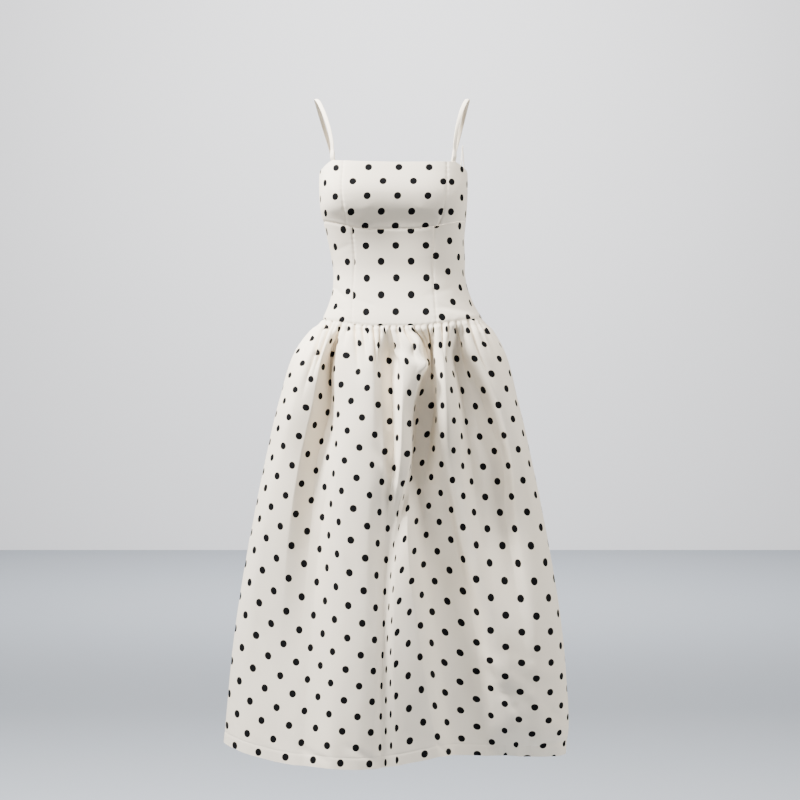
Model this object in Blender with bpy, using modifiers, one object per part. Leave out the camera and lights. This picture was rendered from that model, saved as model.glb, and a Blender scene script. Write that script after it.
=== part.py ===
"""A strappy dress with a seamed, dropped-waist bodice and a full gathered skirt.

Metres, +Z up. The origin is midway between the tops of the two shoulder straps. The front
of the dress faces -Y and +X is the wearer's left. Tables are in millimetres and degrees.

An angle round the body is 0 at the centre front, 90 at the wearer's left side and 180 at the
centre back. Every cloth piece is worked out as a middle surface, then given its wall.
"""
from collections import namedtuple
from math import radians

import bmesh
import bpy
import numpy as np
from mathutils import Matrix, Vector

MM = 0.001

# Cloth
WALL = 1.0 * MM                # wall of every cloth panel
SEAM_GAP = 0.36 * MM           # space left between two pieces at a seam
CLEAR = 0.32 * MM              # space between a panel and what lies on it

# Heights, from the tops of the straps down
UNDERBUST_FRONT = -242 * MM
UNDERBUST_SIDE = -220.5 * MM
WAIST_SEAM_FRONT = -410 * MM
WAIST_SEAM_SIDE = -394 * MM
HEM_HEIGHT = -1166 * MM
SIDE_SEAM_ANGLE = 91.0

# Bodice: one row per section, top to bottom
Section = namedtuple("Section", "height half_width front back centre_x squareness turn")
BODICE_SECTIONS = (
    Section(-110, 129.5, 97, 92, 1.0, 3.2, 0.0),
    Section(-135, 132.0, 104, 93, 1.0, 3.4, 0.0),
    Section(-180, 132.0, 112, 93, 1.0, 3.6, 0.0),
    Section(-205, 130.0, 108, 91, 2.0, 3.5, 1.0),
    Section(-222, 127.0, 101, 89, 3.5, 3.2, 2.0),
    Section(-248, 122.5, 95, 86, 5.5, 3.0, 4.0),
    Section(-284, 119.0, 90, 84, 9.5, 2.8, 6.5),
    Section(-320, 117.5, 88, 84, 11.7, 2.7, 7.6),
    Section(-350, 123.0, 92, 88, 14.0, 2.6, 7.6),
    Section(-376, 133.0, 98, 94, 15.7, 2.5, 7.6),
    Section(-394, 142.5, 103, 99, 17.5, 2.5, 7.6),
    Section(-412, 149.0, 107, 103, 18.5, 2.5, 7.6),
)

# Top edge of the bodice all round: neckline, armholes and back
EdgePoint = namedtuple("EdgePoint", "angle height")
TOP_EDGE = (
    EdgePoint(-180, -171), EdgePoint(-150, -169), EdgePoint(-125, -158), EdgePoint(-100, -143),
    EdgePoint(-78, -136), EdgePoint(-64, -130), EdgePoint(-54, -118.5), EdgePoint(-30, -122),
    EdgePoint(0, -123.5), EdgePoint(30, -123), EdgePoint(54, -121), EdgePoint(64, -130),
    EdgePoint(78, -136), EdgePoint(100, -143), EdgePoint(125, -158), EdgePoint(150, -169),
    EdgePoint(180, -171),
)

# Princess seams: distance of each from the middle plane at a height
SeamPoint = namedtuple("SeamPoint", "height left right")
BUST_SEAMS = (
    SeamPoint(-118, -87, 95), SeamPoint(-180, -89, 93), SeamPoint(-210, -85, 88),
    SeamPoint(-242, -80, 77),
)
MIDRIFF_SEAMS = (
    SeamPoint(-220, -74, 73.5), SeamPoint(-290, -68, 70), SeamPoint(-345, -70.5, 72),
    SeamPoint(-412, -73, 77),
)

# How finely the bodice pieces are divided
BUST_ROWS = 6
MIDRIFF_ROWS = 8
FRONT_COLUMNS = 13
FLANK_ANGLES = (60.5, 66.5, 74.5, 82.5, 91.0)           # from the strap round to the side seam
BACK_ANGLES = (91.0, 100.0, 109.0, 118.0, 125.0, 131.7, 137.3, 144.0, 152.0, 160.0, 166.5)

# Skirt: one row per fold line on the front, in plan. "seam" is its angle at the waist seam,
# then (x, y) where it stands at each of the levels below.
LEVELS = (0.0, 0.065, 0.195, 0.44, 0.73, 1.0)       # part of the way from seam to hem
FrontFold = namedtuple("FrontFold", "name seam upper hip middle low hem")
FRONT_FOLDS = (
    FrontFold("left_side", -90, (-168, 10), (-204, 10), (-243, 10), (-282, 10), (-306, 20)),
    FrontFold("left_outer", -79, (-151, -50), (-181, -68), (-216, -78), (-252, -75), (-275, -62)),
    FrontFold("left_ridge", -66, (-118, -88), (-146, -115), (-178, -124), (-196, -116), (-204, -120)),
    FrontFold("left_valley", -57, (-98, -80), (-110, -98), (-125, -105), (-147, -130), (-151, -155)),
    FrontFold("panel_left", -47, (-80, -110), (-88, -134), (-91, -143), (-94, -165), (-107, -184)),
    FrontFold("panel_crest", -33, (-46, -122), (-56, -145), (-50, -155), (-48, -188), (-64, -196)),
    FrontFold("panel_right", -22, (-27, -118), (-29, -137), (-18, -150), (-17, -181), (-21, -190)),
    FrontFold("centre_valley", -15, (-14, -102), (-7, -122), (3, -132), (2, -112), (9, -140)),
    FrontFold("centre_ridge", -5, (9, -126), (20, -130), (24, -144), (42, -143), (62, -112)),
    FrontFold("nose_valley", 3, (25, -112), (32, -122), (34, -124), (62, -142), (84, -100)),
    FrontFold("nose_ridge", 13, (42, -130), (41, -110), (42, -106), (82, -131), (108, -92)),
    FrontFold("main_valley", 22, (63, -100), (58, -88), (60, -92), (108, -112), (134, -84)),
    FrontFold("ridge_left", 28, (77, -120), (77, -108), (84, -104), (139, -91), (160, -82)),
    FrontFold("ridge_crest", 34, (89, -122), (94, -115), (103, -112), (165, -82), (184, -83)),
    FrontFold("step_top", 40, (105, -94), (116, -92), (128, -90), (184, -79), (202, -85)),
    FrontFold("step_foot", 45, (119, -102), (131, -76), (150, -74), (198, -78), (216, -86)),
    FrontFold("right_valley", 51, (134, -80), (149, -66), (171, -70), (212, -78), (232, -86)),
    FrontFold("right_ridge", 58, (146, -88), (168, -60), (194, -68), (234, -78), (252, -83)),
    FrontFold("right_panel", 68, (165, -65), (188, -50), (225, -62), (265, -68), (278, -72)),
    FrontFold("right_outer", 79, (182, -35), (209, -30), (251, -35), (289, -48), (302, -52)),
    FrontFold("right_side", 90, (194, 4), (222, 4), (266, 2), (302, -6), (316, -14)),
)

# The back folds stand on a half oval between the two side lines: depth of that oval at each
# level, then one row per fold with its angle and how far it stands out at each level.
BACK_DEPTH = (0, 116, 140, 165, 185, 200)
BackFold = namedtuple("BackFold", "seam hem upper hip middle low edge")
BACK_FOLDS = (
    BackFold(103, 101, -8, -12, -9, -6, -4), BackFold(112, 110, 9, 12, 10, 8, 6),
    BackFold(121, 119, -10, -17, -13, -8, -5), BackFold(131, 129, 10, 14, 13, 11, 8),
    BackFold(140, 139, -9, -16, -15, -11, -7), BackFold(150, 151, 11, 16, 14, 12, 10),
    BackFold(160, 160, -12, -18, -16, -12, -8), BackFold(170, 169, 7, 10, 11, 9, 7),
    BackFold(180, 181, -4, -9, -10, -9, -7), BackFold(190, 192, 8, 13, 14, 13, 10),
    BackFold(201, 203, -11, -19, -16, -11, -8), BackFold(211, 213, 10, 13, 12, 11, 9),
    BackFold(220, 221, -10, -15, -12, -8, -5), BackFold(230, 232, 11, 16, 14, 11, 8),
    BackFold(240, 241, -9, -14, -13, -10, -7), BackFold(249, 251, 8, 11, 9, 7, 5),
    BackFold(259, 260, -8, -11, -8, -5, -4),
)

# Gathers along the waist seam. On the front each valley starts at its own place.
FRONT_GATHERS = (-68, -59, -45.5, -39.5, -35, -29.5, -23, -14, -7.5, -1, 8.5, 22, 27, 35, 41, 47.5, 52.5, 58.5)
GATHERS_LEFT_SIDE = 4
GATHERS_RIGHT_SIDE = 6
GATHERS_HALF_BACK = 14
GATHER_HEIGHT = 2.4 * MM       # crest to valley where the gathers are fullest
GATHER_SEAM_HEIGHT = 0.5 * MM  # what is left of it where they are stitched flat
GATHER_SLOPE_LIMIT = 0.2       # height of a gather as a part of its width, at most
STEPS_PER_GATHER = 4
GATHER_RISE = (0.0, 0.008, 0.021, 0.042, 0.073, 0.115)
GATHER_SHARE = (0.0, 0.65, 1.0, 0.8, 0.4, 0.0)
LOWER_ROWS = (0.175, 0.25, 0.33, 0.42, 0.51, 0.60, 0.70, 0.80, 0.90, 1.0)

# Straps: one row per station from the front corner over the shoulder to the back
StrapPoint = namedtuple("StrapPoint", "x y z width thick")
STRAP_STATIONS = (
    StrapPoint(107.5, -76.0, -104, 7.5, 2.6), StrapPoint(109.0, -71.0, -84, 7.0, 2.0),
    StrapPoint(112.5, -60.0, -56, 6.6, 1.9), StrapPoint(119.0, -42.0, -26, 6.8, 1.9),
    StrapPoint(127.0, -18.0, -5, 7.2, 1.9), StrapPoint(131.4, 2.0, 0, 7.4, 1.9),
    StrapPoint(129.0, 24.0, -10, 7.4, 1.9), StrapPoint(118.0, 48.0, -42, 7.4, 1.9),
    StrapPoint(102.0, 68.0, -90, 7.4, 1.9), StrapPoint(92.0, 78.0, -130, 7.4, 1.9),
)
STRAP_FRONT_X = (-106.5, 108.5)        # where each strap is sewn in, wearer's right and left
STRAP_FRONT_HEIGHTS = (-134, -122)
STRAP_BACK_ANGLE = 134.5
STRAP_FLAT = 2.8                       # half the angle of the flat that each strap end lies on
STRAP_TURN = 90                        # length over which a strap turns to lie along its panel
STRAP_BACK_HEIGHTS = (-158, -178)
STRAP_STEPS = 3                        # rings between two stations
STRAP_END_THICK = 2.0                  # the turned tube where it is sewn in
STRAP_CLEAR = 0.6                      # space between a sewn-in end and the panel's inner face

# Hanger loop at the wearer's left armhole
LOOP_ANGLES = FLANK_ANGLES[:2]
LOOP_FOOT = -146
LOOP_NECK = -129
LOOP_TOP = -91
LOOP_CORD = 1.6 * MM

# Concealed zip at the centre back
TAPE_THICK = 1.0 * MM
TAPE_ANGLES = (180.0, 178.3, 176.6, 174.9, 173.2)
ZIP_SKIRT_ROWS = 4
SLIDER_HEIGHT = -181 * MM
SLIDER_SIZE = (7.2, 3.0, 9.5)
SLIDER_STAND = 0.35 * MM
BAIL_WIDTH = 1.4
BAIL_LENGTH = 6.4
BAIL_BAR = 0.9
BAIL_HOLE = 2.3
PULL_THICK = 1.2
PULL_BAR = 1.2
PULL_WINDOW = (2.4, 4.2)
PULL_LENGTH = 21.0
PULL_WIDTHS = (4.8, 6.4)

for existing in list(bpy.data.objects):
    bpy.data.objects.remove(existing, do_unlink=True)

dress = bpy.data.collections.new("slip_dress")
bpy.context.scene.collection.children.link(dress)


def material(name, colour, roughness, metallic=0.0):
    """A plain finish for one kind of piece."""
    made = bpy.data.materials.new(name)
    made.use_nodes = True
    shader = made.node_tree.nodes["Principled BSDF"]
    shader.inputs["Base Color"].default_value = (*colour, 1.0)
    shader.inputs["Roughness"].default_value = roughness
    shader.inputs["Metallic"].default_value = metallic
    return made


CLOTH = material("dotted_cloth", (0.86, 0.83, 0.77), 0.85)
PLAIN = material("plain_cloth", (0.88, 0.85, 0.80), 0.8)
TAPE = material("zip_tape", (0.85, 0.83, 0.79), 0.9)
METAL = material("zip_metal", (0.80, 0.78, 0.74), 0.35, 0.9)


def column(rows, name):
    """One named column of a table."""
    return np.array([getattr(row, name) for row in rows], dtype=float)


def smooth(value):
    """Ease from 0 to 1 with level ends."""
    value = np.clip(value, 0.0, 1.0)
    return value * value * (3.0 - 2.0 * value)


# ---------------------------------------------------------------- bodice surface

def bodice_point(angle, height):
    """Points of the bodice's middle surface at angles (degrees) and heights (metres)."""
    angle, height = np.broadcast_arrays(np.asarray(angle, float), np.asarray(height, float))
    depth = -column(BODICE_SECTIONS, "height") * MM

    def at(name):
        return np.interp(-height, depth, column(BODICE_SECTIONS, name))

    turned = np.radians(angle)
    across, along = np.sin(turned), np.cos(turned)
    power = at("squareness")
    half_depth = np.where(along >= 0, at("front"), at("back"))
    reach = (np.abs(across / at("half_width")) ** power + np.abs(along / half_depth) ** power) ** (-1 / power)
    x, y = reach * across, -reach * along
    turn = np.radians(at("turn"))
    return np.stack([
        (x * np.cos(turn) + y * np.sin(turn) + at("centre_x")) * MM,
        (-x * np.sin(turn) + y * np.cos(turn)) * MM,
        height * np.ones_like(x),
    ], axis=-1)


def top_edge(angle):
    """Height of the bodice's top edge."""
    return np.interp(angle, column(TOP_EDGE, "angle"), column(TOP_EDGE, "height")) * MM


def underbust(angle):
    """Height of the seam below the bust, which dips at the centre front."""
    share = smooth(np.abs(angle) / 70.0)
    return UNDERBUST_FRONT + (UNDERBUST_SIDE - UNDERBUST_FRONT) * share


def waist_seam(angle):
    """Height of the dropped waist seam, lowest at the centre front."""
    share = smooth((np.abs(angle) - 15.0) / 70.0)
    return WAIST_SEAM_FRONT + (WAIST_SEAM_SIDE - WAIST_SEAM_FRONT) * share


def angle_at(x, height):
    """The angle on the front where the bodice is x (mm) from the middle plane."""
    low, high = -85.0, 85.0
    for _ in range(40):
        middle = 0.5 * (low + high)
        if bodice_point(middle, height)[0] < x * MM:
            low = middle
        else:
            high = middle
    return 0.5 * (low + high)


def seam_angle(table, side, height):
    """The angle of a princess seam at a height."""
    heights = -column(table, "height") * MM
    return angle_at(np.interp(-height, heights, column(table, side)), height)


# ---------------------------------------------------------------- skirt surface

def fold_lines():
    """Seam angle and plan points at every level, for every fold line all round."""
    left, right = FRONT_FOLDS[0], FRONT_FOLDS[-1]
    lines = []
    for row in FRONT_FOLDS:
        lines.append((row.seam, [row.upper, row.hip, row.middle, row.low, row.hem]))
    for row in BACK_FOLDS:
        stands = (row.upper, row.hip, row.middle, row.low, row.edge)
        points = []
        for level, stand in enumerate(stands):
            a, b = left[level + 2], right[level + 2]
            share = LEVELS[level + 1]
            turned = radians(row.seam + (row.hem - row.seam) * share)
            half = 0.5 * (b[0] - a[0]) + stand
            deep = BACK_DEPTH[level + 1] + stand
            base = a[1] + (b[1] - a[1]) * 0.5 * (1 + np.sin(turned))
            points.append((0.5 * (a[0] + b[0]) + half * np.sin(turned), base - deep * np.cos(turned)))
        lines.append((row.seam, points))
    angles = np.array([line[0] for line in lines], dtype=float)
    seam = bodice_point(angles, waist_seam(wrapped(angles)))[:, :2]
    places = np.array([line[1] for line in lines], dtype=float) * MM
    return angles, np.concatenate([seam[:, None, :], places], axis=1)


def wrapped(angle):
    """The same angle between -180 and 180."""
    return (np.asarray(angle, float) + 180.0) % 360.0 - 180.0


LINE_ANGLES, LINE_PLACES = fold_lines()


def places_at(share):
    """Plan points of all fold lines, part of the way down, on a smooth line through the levels."""
    knots = np.array(LEVELS)
    slopes = np.zeros_like(LINE_PLACES)
    step = np.diff(knots)[None, :, None]
    rise = np.diff(LINE_PLACES, axis=1) / step
    slopes[:, 0] = rise[:, 0]
    slopes[:, -1] = rise[:, -1]
    slopes[:, 1:-1] = (rise[:, :-1] * step[:, 1:] + rise[:, 1:] * step[:, :-1]) / (step[:, 1:] + step[:, :-1])
    span = min(int(np.searchsorted(knots, share, side="right")) - 1, len(knots) - 2)
    width = knots[span + 1] - knots[span]
    t = (share - knots[span]) / width
    start, end = LINE_PLACES[:, span], LINE_PLACES[:, span + 1]
    return (
        (2 * t ** 3 - 3 * t ** 2 + 1) * start + (t ** 3 - 2 * t ** 2 + t) * width * slopes[:, span]
        + (3 * t ** 2 - 2 * t ** 3) * end + (t ** 3 - t ** 2) * width * slopes[:, span + 1]
    )


def ring_through(places, angle):
    """Points on a closed smooth curve through the fold lines' plan points."""
    count = len(places)
    turned = (np.asarray(angle, float) - LINE_ANGLES[0]) % 360.0 + LINE_ANGLES[0]
    edges = np.append(LINE_ANGLES, LINE_ANGLES[0] + 360.0)
    span = np.clip(np.searchsorted(edges, turned, side="right") - 1, 0, count - 1)
    part = (turned - edges[span]) / (edges[span + 1] - edges[span])
    p0, p1 = places[(span - 1) % count], places[span]
    p2, p3 = places[(span + 1) % count], places[(span + 2) % count]
    k1 = np.sqrt(np.linalg.norm(p1 - p0, axis=-1))[..., None]
    k2 = k1 + np.sqrt(np.linalg.norm(p2 - p1, axis=-1))[..., None]
    k3 = k2 + np.sqrt(np.linalg.norm(p3 - p2, axis=-1))[..., None]
    k = k1 + (k2 - k1) * part[..., None]
    a1 = (k1 - k) / k1 * p0 + k / k1 * p1
    a2 = (k2 - k) / (k2 - k1) * p1 + (k - k1) / (k2 - k1) * p2
    a3 = (k3 - k) / (k3 - k2) * p2 + (k - k2) / (k3 - k2) * p3
    b1 = (k2 - k) / k2 * a1 + k / k2 * a2
    b2 = (k3 - k) / (k3 - k1) * a2 + (k - k1) / (k3 - k1) * a3
    return (k2 - k) / (k2 - k1) * b1 + (k - k1) / (k2 - k1) * b2


def even_angles(start, end, count):
    """Angles that cut a stretch of the waist seam into nearly even gathers."""
    fine = np.linspace(start, end, 400)
    ring = bodice_point(fine, waist_seam(wrapped(fine)))
    length = np.append(0.0, np.cumsum(np.linalg.norm(np.diff(ring, axis=0), axis=1)))
    share = np.linspace(0.0, 1.0, count + 1)
    uneven = share + 0.10 / count * np.sin(2 * np.pi * share * (count // 3 + 0.5)) * np.sin(np.pi * share) ** 0.5
    return np.interp(uneven * length[-1], length, fine)


def gather_valleys():
    """Angles of all gather valleys from the wearer's right side seam round to it again."""
    side = SIDE_SEAM_ANGLE
    parts = (
        even_angles(-side, FRONT_GATHERS[0], GATHERS_LEFT_SIDE)[:-1],
        np.array(FRONT_GATHERS[:-1], dtype=float),
        even_angles(FRONT_GATHERS[-1], side, GATHERS_RIGHT_SIDE)[:-1],
        even_angles(side, TAPE_ANGLES[-1], GATHERS_HALF_BACK),
        even_angles(360.0 - TAPE_ANGLES[-1], 360.0 - side, GATHERS_HALF_BACK),
    )
    return np.concatenate(parts)


VALLEYS = gather_valleys()


def ripple(angle, share):
    """How far the gathers stand out from the folds below the waist seam."""
    turned = (np.asarray(angle, float) - VALLEYS[0]) % 360.0 + VALLEYS[0]
    span = np.clip(np.searchsorted(VALLEYS, turned, side="right") - 1, 0, len(VALLEYS) - 2)
    part = (turned - VALLEYS[span]) / (VALLEYS[span + 1] - VALLEYS[span])
    width = radians(1.0) * (VALLEYS[span + 1] - VALLEYS[span]) * 125 * MM
    height = np.minimum(GATHER_HEIGHT, GATHER_SLOPE_LIMIT * width)
    plain = (VALLEYS[span] >= TAPE_ANGLES[-1] - 0.01) & (VALLEYS[span + 1] <= 360.01 - TAPE_ANGLES[-1])
    height = np.where(plain, 0.0, height)
    fullness = np.interp(share, GATHER_RISE, GATHER_SHARE)
    stitched = GATHER_SEAM_HEIGHT / GATHER_HEIGHT * (1.0 - smooth(share / GATHER_RISE[1]))
    return -0.5 * height * np.cos(2 * np.pi * part) * np.maximum(fullness, stitched)


def skirt_base(angle, share):
    """Points of the skirt's middle surface without its gathers."""
    angle = np.asarray(angle, float)
    seam = bodice_point(angle, waist_seam(wrapped(angle)))
    plan = ring_through(places_at(share), angle)
    ease = smooth(share / 0.03)
    plan = seam[..., :2] * (1.0 - ease) + plan * ease
    height = seam[..., 2] + (HEM_HEIGHT - seam[..., 2]) * share
    return np.concatenate([plan, height[..., None]], axis=-1)


def skirt_point(angle, share):
    """Points of the skirt's middle surface, gathers and all."""
    step = 0.3
    along = skirt_base(angle + step, share) - skirt_base(angle - step, share)
    outward = np.stack([along[..., 1], -along[..., 0], np.zeros_like(along[..., 0])], axis=-1)
    outward /= np.linalg.norm(outward, axis=-1, keepdims=True)
    return skirt_base(angle, share) + outward * ripple(angle, share)[..., None]


def skirt_row(angles, share):
    """Middle points and outward normals along one row of the skirt."""
    down_step = 0.002
    points = skirt_point(angles, share)
    across = skirt_point(angles + 0.15, share) - skirt_point(angles - 0.15, share)
    below = skirt_point(angles, min(share + down_step, 1.0))
    above = skirt_point(angles, max(share - down_step, 0.0))
    return points, unit_normals(below - above, across, level=share == 0.0)


def bodice_row(angles, heights, level):
    """Middle points and outward normals along one row of the bodice."""
    step = 0.5 * MM
    points = bodice_point(angles, heights)
    across = bodice_point(angles + 0.3, heights) - bodice_point(angles - 0.3, heights)
    down = bodice_point(angles, heights - step) - bodice_point(angles, heights + step)
    return points, unit_normals(down, across, level)


def unit_normals(down, across, level):
    """Outward normals from the two surface directions; level ones lie flat."""
    normals = np.cross(down, across)
    if level:
        normals[..., 2] = 0.0
    return normals / np.linalg.norm(normals, axis=-1, keepdims=True)


# ---------------------------------------------------------------- making solids

def add_object(name, mesh, finish):
    """Put a mesh in the dress's collection under its piece's name."""
    made = bpy.data.objects.new(name, mesh)
    dress.objects.link(made)
    mesh.materials.clear()
    mesh.materials.append(finish)
    return made


def strips(rows):
    """Triangles between rows of points; a row with twice the steps of the next is joined to it."""
    starts = np.cumsum([0] + [len(row) for row in rows])
    points = np.concatenate(rows)
    triangles = []
    for upper, lower in zip(range(len(rows) - 1), range(1, len(rows))):
        a, b = starts[upper], starts[lower]
        if len(rows[upper]) == len(rows[lower]):
            for i in range(len(rows[upper]) - 1):
                corner = (a + i, a + i + 1, b + i + 1, b + i)
                one = np.linalg.norm(points[corner[0]] - points[corner[2]])
                two = np.linalg.norm(points[corner[1]] - points[corner[3]])
                if one <= two:
                    triangles += [(corner[0], corner[3], corner[2]), (corner[0], corner[2], corner[1])]
                else:
                    triangles += [(corner[0], corner[3], corner[1]), (corner[1], corner[3], corner[2])]
        else:
            for i in range(len(rows[lower]) - 1):
                left, middle, right = a + 2 * i, a + 2 * i + 1, a + 2 * i + 2
                triangles += [(left, b + i, middle), (middle, b + i, b + i + 1), (middle, b + i + 1, right)]
    return points, triangles


def cloth_wall(name, rows, normals, finish, outer=0.5 * WALL, inner=-0.5 * WALL):
    """A closed wall lofted through rows of middle points, moved out and in along the normals."""
    points, triangles = strips(rows)
    normal = np.concatenate(normals)
    count = len(points)
    outside = points + normal * outer
    inside = points + normal * inner
    edges = {}
    for a, b, c in triangles:
        for edge in ((a, b), (b, c), (c, a)):
            edges[edge] = True
    faces = [tuple(triangle) for triangle in triangles]
    faces += [(a + count, c + count, b + count) for a, b, c in triangles]
    faces += [(b, a, a + count, b + count) for a, b in edges if (b, a) not in edges]
    mesh = bpy.data.meshes.new(name)
    mesh.from_pydata([tuple(p) for p in np.concatenate([outside, inside])], [], faces)
    mesh.update()
    mesh.shade_smooth()
    mesh.set_sharp_from_angle(angle=radians(50))
    return add_object(name, mesh, finish)


def trimmed(points, start, end):
    """Rows of points with their two ends moved in by half a seam gap."""
    points = points.copy()
    if start:
        way = points[1] - points[0]
        points[0] += way / np.linalg.norm(way) * 0.5 * SEAM_GAP
    if end:
        way = points[-2] - points[-1]
        points[-1] += way / np.linalg.norm(way) * 0.5 * SEAM_GAP
    return points


def bodice_heights(angles, stretches, top_seam, bottom_seam):
    """Rows of heights at the given angles, through stretches of (top, bottom, number of rows)."""
    rows = [stretches[0][0](angles) - (0.5 * SEAM_GAP if top_seam else 0.0)]
    for index, (_, bottom, count) in enumerate(stretches):
        start = rows[-1]
        end = bottom(angles)
        if bottom_seam and index == len(stretches) - 1:
            end = end + 0.5 * SEAM_GAP
        rows += [start + (end - start) * step / count for step in range(1, count + 1)]
    return rows


def bodice_panel(name, left, right, stretches, columns, seams):
    """A bodice piece between two side lines.

    left and right give the angle part of the way down, stretches are the edges that the rows
    run between, and seams says which of the top, bottom, left and right edges meet a piece.
    """
    top_seam, bottom_seam, left_seam, right_seam = seams
    total = sum(count for _, _, count in stretches)
    rows, normals = [], []
    for index in range(total + 1):
        low, high = left(index / total), right(index / total)
        angles = low + (high - low) * np.array(columns, dtype=float)
        heights = bodice_heights(angles, stretches, top_seam, bottom_seam)[index]
        edge = (index == 0 and top_seam) or (index == total and bottom_seam)
        points, normal = bodice_row(angles, heights, level=edge)
        rows.append(trimmed(points, left_seam, right_seam))
        normals.append(normal)
    return cloth_wall(name, rows, normals, CLOTH)


def seam_side(table, side, top, bottom):
    """The angle of a princess seam as a function of the way down between two edges."""
    def at(share):
        angle = seam_angle(table, side, -0.2)
        for _ in range(6):
            height = top(angle) + (bottom(angle) - top(angle)) * share
            angle = seam_angle(table, side, height)
        return angle
    return at


def fixed(angle):
    """A side line at one angle all the way down."""
    return lambda share: angle


def make_bodice():
    """The eight bodice pieces."""
    side = SIDE_SEAM_ANGLE
    front = np.linspace(0, 1, FRONT_COLUMNS)
    bust_band = [(top_edge, underbust, BUST_ROWS)]
    midriff = [(underbust, waist_seam, MIDRIFF_ROWS)]
    bust = {s: seam_side(BUST_SEAMS, s, top_edge, underbust) for s in ("left", "right")}
    middle = {s: seam_side(MIDRIFF_SEAMS, s, underbust, waist_seam) for s in ("left", "right")}
    flanks = {}
    for name, sign in (("left", -1), ("right", 1)):
        seam, strap = abs(bust[name](0.0)), abs(angle_at(STRAP_FRONT_X[sign > 0], STRAP_FRONT_HEIGHTS[1] * MM))
        angles = np.array([seam, strap - STRAP_FLAT, strap + STRAP_FLAT, *FLANK_ANGLES])
        spread = (angles - seam) / (side - seam)
        flanks[name] = spread if sign > 0 else 1 - spread[::-1]
    bodice_panel("bust_front", bust["left"], bust["right"], bust_band, front, (0, 1, 1, 1))
    bodice_panel("bust_side_left", bust["right"], fixed(side), bust_band, flanks["right"], (0, 1, 1, 1))
    bodice_panel("bust_side_right", fixed(-side), bust["left"], bust_band, flanks["left"], (0, 1, 1, 1))
    bodice_panel("midriff_front", middle["left"], middle["right"], midriff, front, (1, 1, 1, 1))
    bodice_panel("midriff_side_left", middle["right"], fixed(side), midriff, flanks["right"], (1, 1, 1, 1))
    bodice_panel("midriff_side_right", fixed(-side), middle["left"], midriff, flanks["left"], (1, 1, 1, 1))
    spread = (np.array([*BACK_ANGLES, *TAPE_ANGLES[::-1]]) - side) / (180.0 - side)
    whole = bust_band + midriff
    bodice_panel("back_left", fixed(side), fixed(180.0), whole, spread, (0, 1, 1, 1))
    bodice_panel("back_right", fixed(-180.0), fixed(-side), whole, 1 - spread[::-1], (0, 1, 1, 1))


def skirt_columns(start, end):
    """Angles of a skirt panel's columns, fine for the gathers, between two valleys."""
    valleys = VALLEYS[(VALLEYS >= start - 0.01) & (VALLEYS <= end + 0.01)]
    angles = [valleys[0]]
    for a, b in zip(valleys[:-1], valleys[1:]):
        angles += list(a + (b - a) * np.arange(1, STEPS_PER_GATHER + 1) / STEPS_PER_GATHER)
    return np.array(angles)


def skirt_panel(name, angles):
    """One gathered skirt piece, from the waist seam to the hem."""
    rows, normals = [], []
    for share in GATHER_RISE + LOWER_ROWS:
        picked = angles if share in GATHER_RISE else angles[::2]
        points, normal = skirt_row(picked, share)
        if share == 0.0:
            points[:, 2] -= 0.5 * SEAM_GAP
        rows.append(trimmed(points, True, True))
        normals.append(normal)
    return cloth_wall(name, rows, normals, CLOTH)


def make_skirt():
    """The front skirt and the two back halves, with the stretch beside the zip left plain."""
    side = SIDE_SEAM_ANGLE
    skirt_panel("skirt_front", skirt_columns(-side, side))
    beside_zip = np.array(TAPE_ANGLES[::-1])
    left = np.concatenate([skirt_columns(side, TAPE_ANGLES[-1]), beside_zip[1:]])
    right = np.concatenate([360.0 - beside_zip[::-1], skirt_columns(360.0 - TAPE_ANGLES[-1], 360.0 - side)[1:]])
    skirt_panel("skirt_back_left", left)
    skirt_panel("skirt_back_right", right)


def make_zip_tapes():
    """Two tapes behind the centre back, from the top edge down into the skirt."""
    stretches = [(top_edge, underbust, BUST_ROWS), (underbust, waist_seam, MIDRIFF_ROWS)]
    for name, sign in (("zip_tape_left", 1), ("zip_tape_right", -1)):
        edge = sign * np.array(TAPE_ANGLES)[::-sign]
        heights = bodice_heights(edge, stretches, False, True)
        rows, normals = [], []
        for index, height in enumerate(heights):
            points, normal = bodice_row(edge, height, index == len(heights) - 1)
            rows.append(trimmed(points, sign < 0, sign > 0))
            normals.append(normal)
        for share in GATHER_RISE[1:1 + ZIP_SKIRT_ROWS]:
            points, normal = skirt_row(edge, share)
            rows.append(trimmed(points, sign < 0, sign > 0))
            normals.append(normal)
        start = -0.5 * WALL - CLEAR
        cloth_wall(name, rows, normals, TAPE, start, start - TAPE_THICK)


def ribbon(name, stations, finish):
    """A flat strap lofted through stations of (place, way across, width, thickness)."""
    places = [Vector(station[0]) for station in stations]
    bm = bmesh.new()
    rings = []
    for index, (place, across, width, thick) in enumerate(stations):
        before = places[max(index - 1, 0)]
        after = places[min(index + 1, len(places) - 1)]
        along = (after - before).normalized()
        across = Vector(across)
        across = (across - along * across.dot(along)).normalized()
        through = along.cross(across)
        w, t = 0.5 * width, 0.5 * thick
        profile = ((-w, 0), (-0.8 * w, t), (0, t), (0.8 * w, t), (w, 0), (0.8 * w, -t), (0, -t), (-0.8 * w, -t))
        rings.append([bm.verts.new(Vector(place) + across * a + through * b) for a, b in profile])
    for lower, upper in zip(rings[:-1], rings[1:]):
        for i in range(len(lower)):
            j = (i + 1) % len(lower)
            bm.faces.new((lower[i], lower[j], upper[j], upper[i]))
    bm.faces.new(rings[0][::-1])
    bm.faces.new(rings[-1])
    bmesh.ops.recalc_face_normals(bm, faces=bm.faces)
    mesh = bpy.data.meshes.new(name)
    bm.to_mesh(mesh)
    bm.free()
    mesh.shade_smooth()
    mesh.set_sharp_from_angle(angle=radians(40))
    return add_object(name, mesh, finish)


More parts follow.
